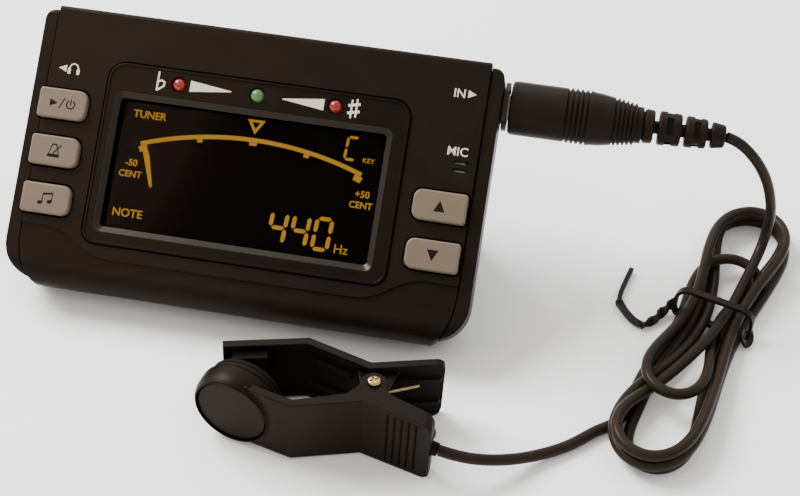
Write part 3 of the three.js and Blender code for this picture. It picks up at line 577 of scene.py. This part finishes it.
def seam_outline(inset):
    a, b, c = ((46.7 - inset, 0.8 + inset), (50.3 - inset, 4.8), (50.3 - inset, 12))
    bend = [tuple(a[k] * (1 - t) ** 2 + 2 * b[k] * t * (1 - t) + c[k] * t * t for k in range(2))
            for t in np.linspace(0, 1, 13)]
    side = [(45.6 - inset, inset), *bend, (50.3 - inset, HEIGHT - inset)]
    return side + [(-x, y) for x, y in reversed(side)]


def face_profile(drop, step):
    return ([(step, SPLIT + 0.3)] + arc(5 + step, 12.5, 5, 4.5 - drop, 180, 90, 16)
            + arc(HEIGHT - step - 1.1, 15.9 - drop, 1.1, 1.1, 90, 0, 5) + [(HEIGHT - step, SPLIT + 0.3)])


def button_outline(sides, row, grow):
    inner, outer = 2 + grow, 0.8 + grow
    radii = (outer, inner, inner, outer) if sides[0] < 0 else (inner, outer, outer, inner)
    return rounded(sides[0] - grow, sides[1] + grow, row - 3.45 - grow, row + 3.45 + grow, radii, 6)


def along_case(x0, x1, place, radius, sides=32):
    return rod((x0, *place), (x1, *place), radius, sides)


def on_middle(profile, *limits):
    """What lies between the two seams under a profile."""
    return common(bar(profile, -HALF, HALF), plate(seam_outline(0), 0, TALL), *limits)


above_step = softened([(-70, 13.6), (-41.6, 13.6), (-33, 7.8), (31, 7.8), (39.6, 13.6), (70, 13.6),
                       (70, 90), (-70, 90)], 4)
middle = joined(on_middle(face_profile(0.35, 0)),
                on_middle(face_profile(0, 0), plate(above_step, 0, TALL)))
groove = cut(plate(seam_outline(-0.22), 0, TALL), plate(seam_outline(0), -1, TALL + 1),
             bar(face_profile(1.2, 1.7), -60, 60))
ends = cut(common(bar(face_profile(0.5, 1), -HALF, HALF), plate(case_outline(0), 0, TALL)), groove)
hollow = common(plate(seam_outline(WALL), 0, 14.9), block(-HALF, HALF, 3.5, 62.5, 0, TALL))
front = cut(
    joined(middle, ends), hollow,
    plate(rounded(-36.3, 34.3, 10.9, 53.3, (3.3, 3.3, 4.3, 4.3)), 15.8, TALL),
    block(-33.5, 30.3, 14.3, 46.1, 10, TALL), along_case(30, 60, JACK, JACK_BORE),
    along_case(-60, -45, PHONES, PHONES_BORE),
    *[plate(button_outline(s, row, 0.38), 10, TALL) for _, s, row in BUTTONS],
    *[plate(rounded(45.1, 48.3, y - 0.3, y + 0.3, 0.28, 3), 10, TALL) for y in (39.2, 41)])
piece(front, "front_shell", CASE, "tuner", case_black, ["front_cover"], bevel=0.16)


def rear_layers(inset, bottom, top):
    steps = [(3, 0), (2.2, 0.45), (1.1, 1.6), (0.62, 2.7), (0.3, 4), (0.08, 6), (0, top - bottom)]
    return [(case_outline(inset + i), bottom + z) for i, z in steps]


def below_level(height):
    under = block(-100, 100, -60, 60, height - 20, height)
    under.data.transform(Matrix.Rotation(-LEAN, 4, "X"))
    return under


def cover_space(gap):
    return joined(block(-60, 10 + gap, 6.4 - gap, 29.6 + gap, -1, 1.6 + gap),
                  block(-60, 10 + gap, 5.6 - gap, 30.4 + gap, 0.9 - gap, 1.6 + gap))


inside = cut(loft(rear_layers(WALL, WALL, SPLIT + 1)), below_level(5))
rear = joined(
    cut(loft(rear_layers(0, 0, SPLIT)), inside), block(-41.2, 10, 5.2, 30.8, 1, 12.2),
    common(block(-52, -40, 4.4, 31.6, 1, 3.6), loft(rear_layers(0, 0, SPLIT))),
    block(9.7, 48.5, 10.5, 41.9, 1, 4.9), *[rod((x, y, 1), (x, y, 5), 3.4) for x, y in SCREWS])
rear = cut(
    rear, below_level(3.4), cover_space(0.3), block(-40, 8.8, 6.4, 29.6, -1, 14),
    plate(rounded(11, 47, 12, 40.4, 0.8, 4), -1, 3.4), along_case(9.9, 48.1, STAND_HINGE, 1, 20),
    *[rod((x, y, -1), (x, y, 2.2), 2.5, 32) for x, y in SCREWS],
    *[rod((x, y, 1), (x, y, 6), 1.35, 20) for x, y in SCREWS],
    *[plate(rounded(-30, -14, 40 + 3.2 * i, 41.2 + 3.2 * i, 0.58, 4), -1, 4) for i in range(5)],
    along_case(45, 60, JACK, JACK_BORE), along_case(-60, -45, PHONES, PHONES_BORE))
piece(rear, "rear_shell", CASE, "tuner", case_black, ["rear_cover"], bevel=0.08,
      even=True)

door = cut(
    common(cover_space(0), loft(rear_layers(0, 0, SPLIT))),
    *[plate(rounded(-48.5 + 1.7 * i, -47.6 + 1.7 * i, 11, 25, 0.44, 4), -1, 0.7)
      for i in range(5)],
    plate([(-34, 15.5), (-34, 20.5), (-37.5, 18)], -1, 0.35))
piece(door, "battery_door_plate", CASE, "battery_door", case_black, ["battery_cover"],
      bevel=0.12)

leg = joined(
    cut(block(*LEG_SIDES, -LEG_LENGTH, -0.7, -1.2, 1.2),
        plate(rounded(20.8, 37.2, -19, -12, 1.6), -3, 3)),
    along_case(*LEG_SIDES, (-LEG_LENGTH, 0), 1.2), along_case(*LEG_SIDES, (0, 0), 1.4))
leg = cut(leg, along_case(10, 48, (0, 0), 1, 20),
          *[block(15, 43, y - 0.25, y + 0.25, 1.0, 2) for y in (-21.6, -22.5)])
piece(leg, "stand_plate", STAND, "stand", case_black, ["stand_leg"], limit=28)

for k, (x, y) in enumerate(SCREWS):
    screw = turned([(0, 10.5), (0.95, 10.5), (0.95, 1.9), (2.2, 1.9), (2.2, 1.15), (1.95, 0.8),
                    (1.3, 0.62), (0, 0.6)], (x, y, 0), (0, 0, 1))
    cross = [block(x - a, x + a, y - b, y + b, -1, 1.3) for a, b in ((1.25, 0.28), (0.28, 1.25))]
    piece(cut(screw, joined(*cross)), f"back_screw_{k + 1}", CASE, "tuner", nickel,
          [f"case_screw_{k + 1}"], bevel=0.05)

# -------- the display
def window(grow):
    return rounded(-32.5 - grow, 29.3 + grow, 15.3 - grow, 45.1 + grow, 1 + grow * 0.6)


bezel = cut(
    plate(rounded(-36, 34, 11.2, 53, (3, 3, 4, 4), 10), 16.1, 17.4),
    plate(rounded(-35.45, 33.45, 11.75, 52.45, (2.5, 2.5, 3.5, 3.5), 10), 17.15, 18),
    plate(window(1.45), 15, 18),
    *[rod((x, LED_Y, 10), (x, LED_Y, 20), 1.75, 32) for x in LEDS.values()])
piece(bezel, "bezel", CASE, "tuner", bezel_black, ["display_bezel"], bevel=0.1)

frame_ring = cut(
    plate(window(1.4), 16.1, 17.12),
    loft([(window(g), z) for g, z in ((0, 15), (0, 16.3), (1.3, 17.12), (2.4, 17.81))]))
piece(frame_ring, "window_frame", CASE, "tuner", frame_black, limit=25)

for name, x in LEDS.items():
    dome = [(LED_RADIUS * cos(a), 16.6 + LED_RADIUS * sin(a))
            for a in np.linspace(0, pi / 2, 10)[:-1]]
    lamp = turned([(0, 12.4), (LED_RADIUS, 12.4), *dome, (0, 18.1)], (x, LED_Y, 0), (0, 0, 1))
    green = name == "led_center"
    piece(lamp, f"{name}_dome", CASE, "tuner", green_lens if green else red_lens,
          [name], limit=60)


def ribbon(line, width):
    """The outline of a stroke along a line of points, with mitred corners."""
    line = [Vector(p) for p in line]
    left, right = [], []
    for i, at in enumerate(line):
        before = (at - line[i - 1]).normalized() if i else (line[1] - at).normalized()
        after = (line[i + 1] - at).normalized() if i + 1 < len(line) else before
        normal = (Vector((-before.y, before.x)) + Vector((-after.y, after.x))).normalized()
        reach = width / 2 / max(normal.dot(Vector((-before.y, before.x))), 0.4)
        left.append(tuple(at + normal * reach))
        right.append(tuple(at - normal * reach))
    return left + right[::-1]


PRINT_RISE, CAPITAL = 0.03, 0.72   # how far print stands up, and a capital's share of the letter size


def lettering(text, x, y, height, z, bold):
    """Plain capitals or figures of a height, centred on a place."""
    letters = bpy.data.curves.new("letters", "FONT")
    letters.body, letters.size, letters.align_x = text, height / CAPITAL, "CENTER"
    letters.offset, letters.extrude, letters.resolution_u = bold, PRINT_RISE / 2, 4
    holder = shown(letters)
    bpy.context.view_layer.update()
    mesh = bpy.data.meshes.new_from_object(holder)
    mesh.transform(Matrix.Translation((x, y - height / 2, z + PRINT_RISE / 2)))
    bpy.data.objects.remove(holder)
    return shown(mesh)


def flat(outline, z):
    return plate(outline, z, z + PRINT_RISE)


PANEL_Z, SLANT = 14.31, 0.06
# Each bar of a seven-part figure as its two ends on a grid one wide and two high.
BARS = {"a": ((0, 2), (1, 2)), "b": ((1, 2), (1, 1)), "c": ((1, 1), (1, 0)), "d": ((0, 0), (1, 0)),
        "e": ((0, 1), (0, 0)), "f": ((0, 2), (0, 1)), "g": ((0, 1), (1, 1))}


def figure(bars, x, y, width, height, thick, gap):
    """A figure of lit bars with pointed ends, from its bottom left corner."""
    shapes = []
    for bar_name in bars:
        ends = [Vector((x + thick / 2 + p * (width - thick), y + thick / 2 + q * (height - thick) / 2))
                for p, q in BARS[bar_name]]
        along = (ends[1] - ends[0]).normalized()
        side = Vector((-along.y, along.x)) * thick / 2
        a, b = ends[0] + along * gap, ends[1] - along * gap
        tip = along * thick / 2
        outline = [a, a + tip - side, b - tip - side, b, b - tip + side, a + tip + side]
        shapes.append(flat([(p.x + (p.y - y) * SLANT, p.y) for p in outline], PANEL_Z))
    return shapes


SCALE_PLACE, SCALE_RADIUS = (-1.0, -37.9), 77.8
SCALE_INSIDE = SCALE_RADIUS - 0.55


def on_scale(degrees, radius):
    a = radians(90 - degrees)
    return SCALE_PLACE[0] + radius * cos(a), SCALE_PLACE[1] + radius * sin(a)


marks = [flat([on_scale(d, SCALE_RADIUS + 0.5) for d in np.linspace(-19.4, 19.3, 40)]
              + [on_scale(d, SCALE_RADIUS - 0.5) for d in np.linspace(19.3, -19.4, 40)], PANEL_Z)]
for degrees, width, depth in ((-19.1, 0.75, 1.9), (-9.2, 0.5, 1.3), (0, 0.7, 1.3), (9.4, 0.5, 1.3),
                              (19.0, 0.75, 1.9)):
    marks.append(flat([on_scale(degrees - width, SCALE_INSIDE),
                       on_scale(degrees - width * 0.9, SCALE_RADIUS - depth),
                       on_scale(degrees + width * 0.9, SCALE_RADIUS - depth),
                       on_scale(degrees + width, SCALE_INSIDE)], PANEL_Z))
marks.append(flat(softened([(-26.2, 34.2), (-25.0, 34.3), (-24.3, 33.0), (-22.55, 26.2),
                            (-22.75, 25.6), (-23.2, 26.0)], 0.5), PANEL_Z))
marks.append(cut(flat([(-3.1, 44.6), (1.1, 44.6), (-1, 41.2)], PANEL_Z),
                 plate([(-1.95, 44.0), (-0.05, 44.0), (-1, 42.5)], 14, 15)))
for k, bars in enumerate(("bcfg", "bcfg", "abcdef")):
    marks += figure(bars, 5.3 + 5.15 * k, 17.0, 4.35, 7.9, 0.95, 0.22)
marks += figure("adef", 19.9, 38.3, 3.0, 5.7, 0.62, 0.12)
marks += [lettering(text, x, y, height, PANEL_Z, bold) for text, x, y, height, bold in (
    ("Hz", 22.7, 18.2, 2.1, 0.02), ("-50", -28.2, 30.9, 1.55, 0.05), ("CENT", -28.1, 28.3, 1.5, 0.05),
    ("+50", 25.6, 31.2, 1.55, 0.05), ("CENT", 25.6, 28.7, 1.5, 0.05), ("NOTE", -27.2, 19.3, 1.9, 0.05),
    ("TUNER", -25.8, 42.3, 1.75, 0.05), ("KEY", 25.8, 38.9, 1.15, 0.02))]
piece(gathered(*marks), "display_segments", CASE, "tuner", amber, smooth=False)

FACE_Z, BEZEL_Z = 17.0, 17.15
OVERLAP = 0.004   # lifts a print that crosses another clear of it


def shifted(points, x, y):
    return [(x + a, y + b) for a, b in points]


def sign(*strokes):
    """Strokes of a width on the bezel, at heights from the lamps' row."""
    return joined(*[flat(ribbon(shifted(line, 0, LED_Y), width), BEZEL_Z) for line, width in strokes])


prints = [flat(shifted(wedge, 0, LED_Y), BEZEL_Z) for wedge in (
    [(-16.9, -1.3), (-7.3, -0.1), (-7.3, 0.1), (-16.9, 1.3)],
    [(14.2, -1.3), (14.2, 1.3), (4.6, 0.1), (4.6, -0.1)])]
prints += [
    sign(([(-24.5, -2), (-24.5, 2.4)], 0.42),
         ([(-24.5, 0.05), (-23.6, 0.45), (-22.9, 0.1), (-23.0, -0.8), (-24.5, -1.95)], 0.42)),
    sign(([(20.5, -2.2), (20.5, 2)], 0.42), ([(21.6, -1.9), (21.6, 2.3)], 0.42),
         ([(19.7, -1.1), (22.4, -0.5)], 0.62), ([(19.7, 0.6), (22.4, 1.2)], 0.62))]
piece(gathered(*prints), "bezel_print", CASE, "tuner", print_white, smooth=False)

prints = [
    lettering("IN", 44.1, 56.6, 2.0, FACE_Z, 0.035), lettering("MIC", 45.6, 43.5, 2.0, FACE_Z, 0.035),
    flat([(46.0, 55.7), (47.9, 56.6), (46.0, 57.5)], FACE_Z),
    flat([(-46.2, 50.7), (-48.1, 49.9), (-46.2, 49.1)], FACE_Z),
    joined(flat(ribbon([(-45.6, 49.2), (-45.6, 50.1), (-45.2, 50.9), (-44.5, 51.2), (-43.8, 50.9),
                        (-43.4, 50.1), (-43.4, 49.2)], 0.3), FACE_Z)),
    flat(rounded(-45.9, -45.2, 48.7, 50.0, 0.2, 3), FACE_Z + OVERLAP),
    flat(rounded(-43.8, -43.1, 48.7, 50.0, 0.2, 3), FACE_Z + OVERLAP)]
piece(gathered(*prints), "face_print", CASE, "tuner", print_white, smooth=False)

# -------- the buttons
CAP_TOP, CAP_EDGE = 18.2, 0.5


def ring_part(x, y, radius, width, start, end):
    return ribbon([(x + radius * cos(radians(a)), y + radius * sin(radians(a)))
                   for a in np.linspace(start, end, 17)], width)


def icon(name, x, y):
    """The print on a button, round its middle."""
    z = CAP_TOP - 0.02

    def here(*points):
        return shifted(points, x, y)

    if name == "power":
        return [flat(here((-2.9, -0.85), (-1.0, 0), (-2.9, 0.85)), z),
                flat(ribbon(here((-0.7, -1.2), (0.5, 1.3)), 0.26), z),
                flat(ring_part(x + 2.0, y - 0.05, 0.95, 0.3, 120, 420), z),
                flat(rounded(x + 1.85, x + 2.15, y - 0.1, y + 1.2, 0.12, 3), z)]
    if name == "mode":
        return [cut(flat(here((-1.5, -1.5), (1.5, -1.5), (0.55, 1.6), (-0.55, 1.6)), z),
                    plate(here((-1.1, -0.75), (1.1, -0.75), (0.36, 1.3), (-0.36, 1.3)), z - 1, z + 1)),
                flat(ribbon(here((-0.1, -0.6), (1.55, 1.35)), 0.28), z + OVERLAP)]
    if name == "note":
        heads = [flat([(px + 0.62 * cos(a) - 0.1 * sin(a),
                        py + 0.42 * sin(a) + 0.14 * cos(a))
                       for a in np.linspace(0, 2 * pi, 21)[:-1]], z)
                 for px, py in here((-1.15, -1.05), (1.05, -0.7))]
        return heads + [flat(ribbon(here((-0.68, -1.0), (-0.68, 1.05)), 0.22), z + OVERLAP),
                        flat(ribbon(here((1.52, -0.6), (1.52, 1.4)), 0.22), z + OVERLAP),
                        flat(here((-0.79, 0.7), (1.63, 1.05), (1.63, 1.5), (-0.79, 1.15)),
                             z + 2 * OVERLAP)]
    tip = 1.25 if name == "up" else -1.25
    return [flat(here((-1.3, -tip), (1.3, -tip), (0, tip))[::1 if tip > 0 else -1], z)]


for name, sides, row in BUTTONS:
    rounding = [(CAP_EDGE * (1 - cos(a)), 17.7 + CAP_EDGE * sin(a))
                for a in np.linspace(0, pi / 2, 6)]
    cap = loft([(button_outline(sides, row, 0), 15.1)]
               + [(button_outline(sides, row, -i), z) for i, z in rounding])
    piece(cap, f"{name}_cap", CASE, f"{name}_button_cap", button_grey,
          [f"{name}_button"], limit=50)
    mark = gathered(*icon(name, sum(sides) / 2, row))
    piece(mark, f"{name}_mark", CASE, f"{name}_button_cap", icon_dark, smooth=False)

# -------- the plug
PLUG_START = 55.3
RELIEF_START = PLUG_START + 30.3


def along_plug(profile, start, sides):
    return turned([(r, start + x) for r, x in profile], (0, *JACK), (1, 0, 0), sides)


profile = [(0, 0), (5.6, 0), (6.0, 0.3), (6.15, 0.9), (6.15, 12.6)]
RIBS, RIB_STEP, TAPER_STEP = 5, 1.12, 0.98
for k in range(RIBS):
    x = 12.8 + RIB_STEP * k
    profile += [(5.75, x), (5.75, x + 0.34), (6.2, x + 0.44), (6.2, x + 0.98)]
profile += [(6.05, 18.6), (5.9, 20.5), (5.42, 23.4)]
for k in range(RIBS):
    x, r = 23.55 + TAPER_STEP * k, 5.38 - 0.17 * k
    profile += [(r - 0.42, x), (r - 0.42, x + 0.3), (r, x + 0.4), (r - 0.03, x + 0.88)]
profile += [(4.15, 28.6), (4.15, 29.8), (3.95, 30), (0, 30)]
plug_body = piece(
    along_plug(profile, PLUG_START, 56), "plug_cover", CASE, "lead", plug_black,
    ["plug_body"], limit=28)

profile = [(0, -0.3), (3.3, -0.3), (3.3, 0)]
CORE, EDGE = 1.5, 0.35
# Each bead of the strain relief: where it starts and ends, and its radius there.
BEADS = [(0, 2.3, 3.9, 3.8), (3.3, 8.4, 3.9, 3.7), (9.3, 14.2, 3.6, 3.35), (15.1, 18.3, 3.0, 2.6)]
for start, end, near, far in BEADS:
    profile += [(CORE, start - 0.01)] if start else []
    profile += [(near - EDGE, start), (near, start + EDGE), (far, end - EDGE), (far - EDGE, end)]
    profile += [(CORE, end + 0.01)] if end < BEADS[-1][1] else []
profile.append((0, BEADS[-1][1]))
relief = along_plug(profile, RELIEF_START, 40)
pockets = []
for x, r in ((5.8, 2.7), (11.9, 2.5)):
    for turn in range(4):
        pocket = block(RELIEF_START + x - 0.75, RELIEF_START + x + 0.75, -1.9, 1.9, r, 6)
        pocket.data.transform(Matrix.Translation((0, *JACK))
                              @ Matrix.Rotation(turn * pi / 2, 4, "X"))
        pockets.append(pocket)
relief = piece(cut(relief, *pockets), "plug_relief", CASE, "lead", plug_black,
               ["plug_strain_relief"], bevel=0.08)

# -------- the clip
ARM_LINE = [(-33.5, 5.2), (-15.6, 9.9), (-1.5, 5.6), (13.6, 9.9)]
CLIP_HALF, ARM_WALL = 8.3, 1.4
DISC_PLACE, DISC_OUT = (-29, -7.2), (-0.24, -0.971)


def inset_line(distance):
    """The upper arm's outer line moved inwards."""
    normals = []
    for a, b in zip(ARM_LINE, ARM_LINE[1:]):
        run = (Vector(b) - Vector(a)).normalized()
        normals.append(Vector((run.y, -run.x)))
    out = []
    for i, p in enumerate(ARM_LINE):
        before, after = normals[max(i - 1, 0)], normals[min(i, 2)]
        out.append(tuple(Vector(p) + (before + after) * distance / (1 + before.dot(after))))
    return out


def mirrored(points):
    return [(x, -y) for x, y in reversed(points)]


def arm_channel():
    """The hollow inside the upper arm, seen from the side."""
    tip, bend, waist, end = inset_line(ARM_WALL)
    return [(tip[0] + 1.3, tip[1] + 0.3), bend, waist, (end[0] - 1.4, end[1] - 0.4), (end[0] - 1.4, -4),
            (tip[0] + 1.3, -4)]


def on_disc(profile):
    return turned(profile, (*DISC_PLACE, 0), (-DISC_OUT[0], -DISC_OUT[1], 0), 64)


def rounded_ends():
    """The clip's width seen from outside, with the handles' corners rounded."""
    return standing(rounded(-45, 13.95, -CLIP_HALF, CLIP_HALF, (0.6, 2.3, 2.3, 0.6), 10), -20, 20)


def beside(t, off, line=(ARM_LINE[2], ARM_LINE[3]), flip=1):
    """A point t along a stretch of the upper arm's outer face and off above it."""
    a, b = Vector(line[0]), Vector(line[1])
    run = (b - a).normalized()
    p = a + run * t + Vector((-run.y, run.x)) * off
    return p.x, p.y * flip


def under(t, off):
    """The same on the lower arm."""
    return beside(t, off, flip=-1)


SLOT = CLIP_HALF - ARM_WALL
SCREW_HOLE = [(0, 0, -20), (0, 0, 20), 1.3]
HOUSING_CURVE = [(8.88, 0.85), (9.07, 1.5), (9.17, 2.2), (9.2, 3)]
rim, handle_rim = inset_line(1.9), inset_line(3.4)
side = plate(
    mirrored(ARM_LINE)
    + [(rim[0][0], -rim[0][1]), (rim[1][0], -rim[1][1]), (-5.1, -3.9), (-3.4, -1.8)]
    + arc(0, 0, 2.85, 2.85, 190, -20, 22)
    + [(3.6, -2.3), (handle_rim[3][0], -handle_rim[3][1])], -CLIP_HALF, CLIP_HALF)
grips = [plate([under(t, 1), under(t + 0.5, 1), under(t + 0.4, -0.26), under(t + 0.1, -0.26)],
               -7.1, 7.1) for t in (5.6, 7.2, 8.8, 10.4, 12.0)]
lower = cut(
    common(side, rounded_ends()), plate(mirrored(arm_channel()), -SLOT, SLOT),
    rod(*SCREW_HOLE), rod((12.2, -7.45, 0), (18.7, -9.3, 0), 1.75),
    on_disc([(0, -6), (8.5, -6), (8.5, 0.3), *HOUSING_CURVE, (9.2, 11.4), (0, 11.4)]),
    block(-50, DISC_PLACE[0], -20, 20, -10, 10), *grips)
housing = on_disc([(0, 3.4), (7, 3.4), (7, 1.6), (8.1, 1.6), (8.1, 0.12), (8.2, 0), (8.35, 0.02),
                   (8.6, 0.3), *HOUSING_CURVE, (9.2, 4.8), (9.1, 5.15), (8.8, 5.4), (0, 5.4)])
rib = plate([under(3, -1.3), under(13.6, -1.3), under(13.6, -2.5), under(4.5, -2.2)], 3.0, 3.8)
bump = turned([(0, -1), (1.5, -1), (1.5, 0.1), (1.25, 0.75), (0.75, 1.15), (0, 1.3)],
              (13.1, -7.7, 4.0), (0.962, -0.274, 0), 32)
piece(joined(lower, housing, rib, bump), "clip_lower", CLIP, "lead", clip_black,
      ["lower_arm"], bevel=0.22, segments=3)

side = plate(ARM_LINE + rim[::-1], -CLIP_HALF, CLIP_HALF)
ears = [plate([(-4.5, 5.6)] + arc(0, 0, 2.7, 2.7, 190, 350, 16) + [(4.5, 5.9)], w - 0.65, w + 0.65)
        for w in (-5.8, 5.8)]
webs = [(ARM_LINE[1], ARM_LINE[2], 1.2, 11.5), (ARM_LINE[2], ARM_LINE[3], 3.5, 15.2)]
ribs = [plate([beside(t, off, (a, b)) for t, off in (
    (t0, -1.3), (t1, -1.3), (t1 - 0.4, -2.2), (t0 + 0.6, -2.2))], w - 0.4, w + 0.4)
        for a, b, t0, t1 in webs for w in (-3.6, 3.6)]
channel = arm_channel()
channel[3:5] = [(channel[3][0] + 6, channel[3][1] + 1.71), (channel[3][0] + 6, -4)]
upper = joined(cut(side, plate(channel, -SLOT, SLOT)), *ears, *ribs)
upper = cut(common(upper, rounded_ends()), rod(*SCREW_HOLE))
piece(upper, "clip_upper", CLIP, "clip_jaw", clip_black, ["upper_arm"], bevel=0.22,
      segments=3)


def on_jaw(along, down):
    return beside(along, -down, (ARM_LINE[0], ARM_LINE[1]))


pad = plate([on_jaw(1.9, 1.7), on_jaw(9.4, 1.7), on_jaw(9.4, 3.8), on_jaw(1.9, 3.8)], -6.5, 6.5)
piece(pad, "jaw_pad", CLIP, "clip_jaw", rubber_black, ["upper_pad"], bevel=0.15)
cover = on_disc([(0, 0.42), (7.2, 0.36), (7.7, 0.42), (7.9, 0.65), (7.9, 1.3), (0, 1.3)])
piece(cover, "disc_plate", CLIP, "lead", disc_black, ["disc_cover"], limit=40)
ring = on_disc([(0, 5.7), (8.05, 5.7), (8.35, 5.85), (8.4, 6.2), (8.4, 6.6), (8.2, 6.7), (8.2, 6.95),
                (8.4, 7.05), (8.4, 7.6), (8.25, 7.88), (8.0, 8), (6.6, 8), (6.4, 7.8), (6.2, 7.6),
                (0, 7.6)])
piece(ring, "disc_rubber", CLIP, "lead", rubber_black, ["disc_pad"], limit=40)

screw = turned([(0, -8.2), (1, -8.2), (1, 8.55), (1.4, 8.55), (1.4, 8.85), (1.25, 9.08), (0.9, 9.22),
                (0, 9.25)], (0, 0, 0), (0, 0, 1))
cross = joined(*[block(-a, a, -b, b, 8.75, 10) for a, b in ((1.0, 0.22), (0.22, 1.0))])
cross.data.transform(Matrix.Rotation(0.5, 4, "Z"))
piece(cut(screw, cross), "pivot_pin", CLIP, "lead", brass, ["pivot_screw"], bevel=0.03)

COIL_RADIUS, COIL_HALF, COIL_POINTS, WIRE = 1.95, 2.75, 84, circle(0.38, 10)
FIRST_TURN = 22   # the points of the coil that move with the jaw
turns = [(COIL_RADIUS * cos(a), COIL_RADIUS * sin(a),
          COIL_HALF - 2 * COIL_HALF * k / COIL_POINTS) for k, a in enumerate(
              np.linspace(radians(105), radians(255 + 5 * 360), COIL_POINTS + 1))]
leg_line = [(1.6, 2.35, COIL_HALF), (5, 4.0, COIL_HALF), (8.9, 6, COIL_HALF)]
moving_leg = smooth_line(leg_line[::-1] + turns[:FIRST_TURN], 0.3)
coil = smooth_line(turns[FIRST_TURN:] + [(x, -y, -z) for x, y, z in leg_line], 0.3)
piece(swept(coil, WIRE), "clip_spring", CLIP, "lead", brass, ["torsion_spring"], limit=60)
piece(swept(moving_leg, WIRE), "clip_spring_leg", CLIP, "clip_jaw", brass, limit=60)

# -------- the tie
band = [(WAIST, c, z) for c, z in rounded(-9.1, 9.1, 0.45, 8.35, (1.2, 1.2, 3.2, 3.2), 8)]
band = swept(band, strap(0.85, 0.42), close=True)
twisted = smooth_line([(WAIST, 9.0, 3.4), (4.4, 10.2, 2.4), (1.5, 11.4, 1.5), (-1.6, 12.5, 1.35),
                       (-3.6, 14.3, 1.2)], 0.35)
twisted = swept(twisted, strap(1.15, 0.5), twist=1.6, scale=np.linspace(1.0, 0.85, len(twisted)))
strip = swept(smooth_line([(-3.5, 14.1, 1.2), (-2.9, 16.2, 1.2), (-1, 19, 1.15), (1.4, 21.5, 1.1)],
                          0.5), strap(0.85, 0.36))
strip_end = swept(smooth_line([(1.1, 21.2, 1.05), (3.4, 21.9, 1.0), (8, 22.4, 0.95),
                               (13.4, 22.7, 1.0)], 0.5), strap(0.55, 0.4))
knob = rod((0.9, 21.9, 0.9), (1.5, 20.4, 0.9), 0.8)
loop = swept(smooth_line([(5.6, -8.9, 2.6), (5.0, -9.6, 1.5), (3.2, -9.9, 1.15), (1.9, -9.4, 1.35),
                          (2.2, -8.4, 2.3), (4.2, -8.2, 3.4)], 0.3), strap(0.7, 0.28))
tie = piece(joined(band, twisted, strip, strip_end, knob, loop), "tie_strip", BUNDLE, "lead", tie_black,
            ["twist_tie"], limit=40)

# -------- the CAD parts that stay
LOOKS = [
    (clear_lens, "display_lens"), (panel_black, "display_panel"), (diffuser, "backlight"),
    (board_green, "main_board"), (nut_black, "input_jack_nut"), (brass_cad, "piezo_element"),
    (sleeve, "battery_1 battery_2"), (steel_cad, "mic_capsule speaker stand_pin"),
    (socket_black, "input_jack headphone_jack plug_insulator"),
    (nickel_cad, "battery_spring_contact battery_plate_contact plug_tip plug_sleeve"),
    (rubber_cad, "keypad_left keypad_right cable_gland pickup_wire"),
]
for look, names in LOOKS:
    for node in (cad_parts[name] for name in names.split()):
        node.data.materials.clear()
        node.data.materials.append(look)
        for face in node.data.polygons:
            face.use_smooth = True
        node.data.set_sharp_from_angle(angle=radians(34))

# -------- the stage
FLOOR_HALF = 3000
floor = made_of([(x * FLOOR_HALF, y * FLOOR_HALF, 0) for x, y in ((-1, -1), (1, -1), (1, 1), (-1, 1))],
                [(0, 1, 2, 3)])
floor.name = "floor"
floor.data.transform(Matrix.Scale(MM, 4))
floor.data.materials.append(surface("floor_white", (0.96, 0.96, 0.96), 0.9, patches=(0.01, 0.01)))


def area_light(name, width, height, power, color=(1, 1, 1)):
    light = bpy.data.lights.new(name, "AREA")
    light.shape, light.size, light.size_y = "RECTANGLE", width, height
    light.energy, light.color = power, color
    return shown(light)


def softbox(name, place, width, height, power):
    """A studio light that faces the case."""
    lamp = area_light(name, width, height, power)
    lamp.location = place
    aim = Vector((0.03, 0, 0)) - Vector(place)
    lamp.rotation_euler = aim.to_track_quat("-Z", "Y").to_euler()


softbox("key", (-0.75, 0.35, 0.85), 0.6, 0.6, 31)
softbox("fill", (0.75, 0.2, 0.7), 0.7, 0.5, 1.2)
softbox("overhead", (0.0, 0.9, 0.9), 0.9, 0.5, 4.5)


def reflected_card(name, place, turn, width, height, power):
    """A soft card whose mirror image in the display, seen from the camera, lies at a place on it."""
    on_lens = CASE @ Vector((*place, 15.8))
    normal = (CASE.to_3x3() @ Vector((0, 0, 1))).normalized()
    eye = camera.matrix_world.translation
    image = eye - 2 * normal * (eye - on_lens).dot(normal)
    lamp = area_light(name, width, height, power, (1, 0.78, 0.6))
    aim = Matrix.Rotation(LEAN, 4, "X") @ Matrix.Rotation(radians(turn), 4, "Z")
    lamp.matrix_world = Matrix.Translation(2 * on_lens - image) @ aim


reflected_card("card", (-34.8, 37.3), -20, 0.08, 0.16, 0.2)
world = bpy.data.worlds.new("world")
bpy.context.scene.world = world
world.use_nodes = True
sky = world.node_tree.nodes["Background"]
sky.inputs["Color"].default_value, sky.inputs["Strength"].default_value = (1, 0.985, 0.96, 1), 1.05
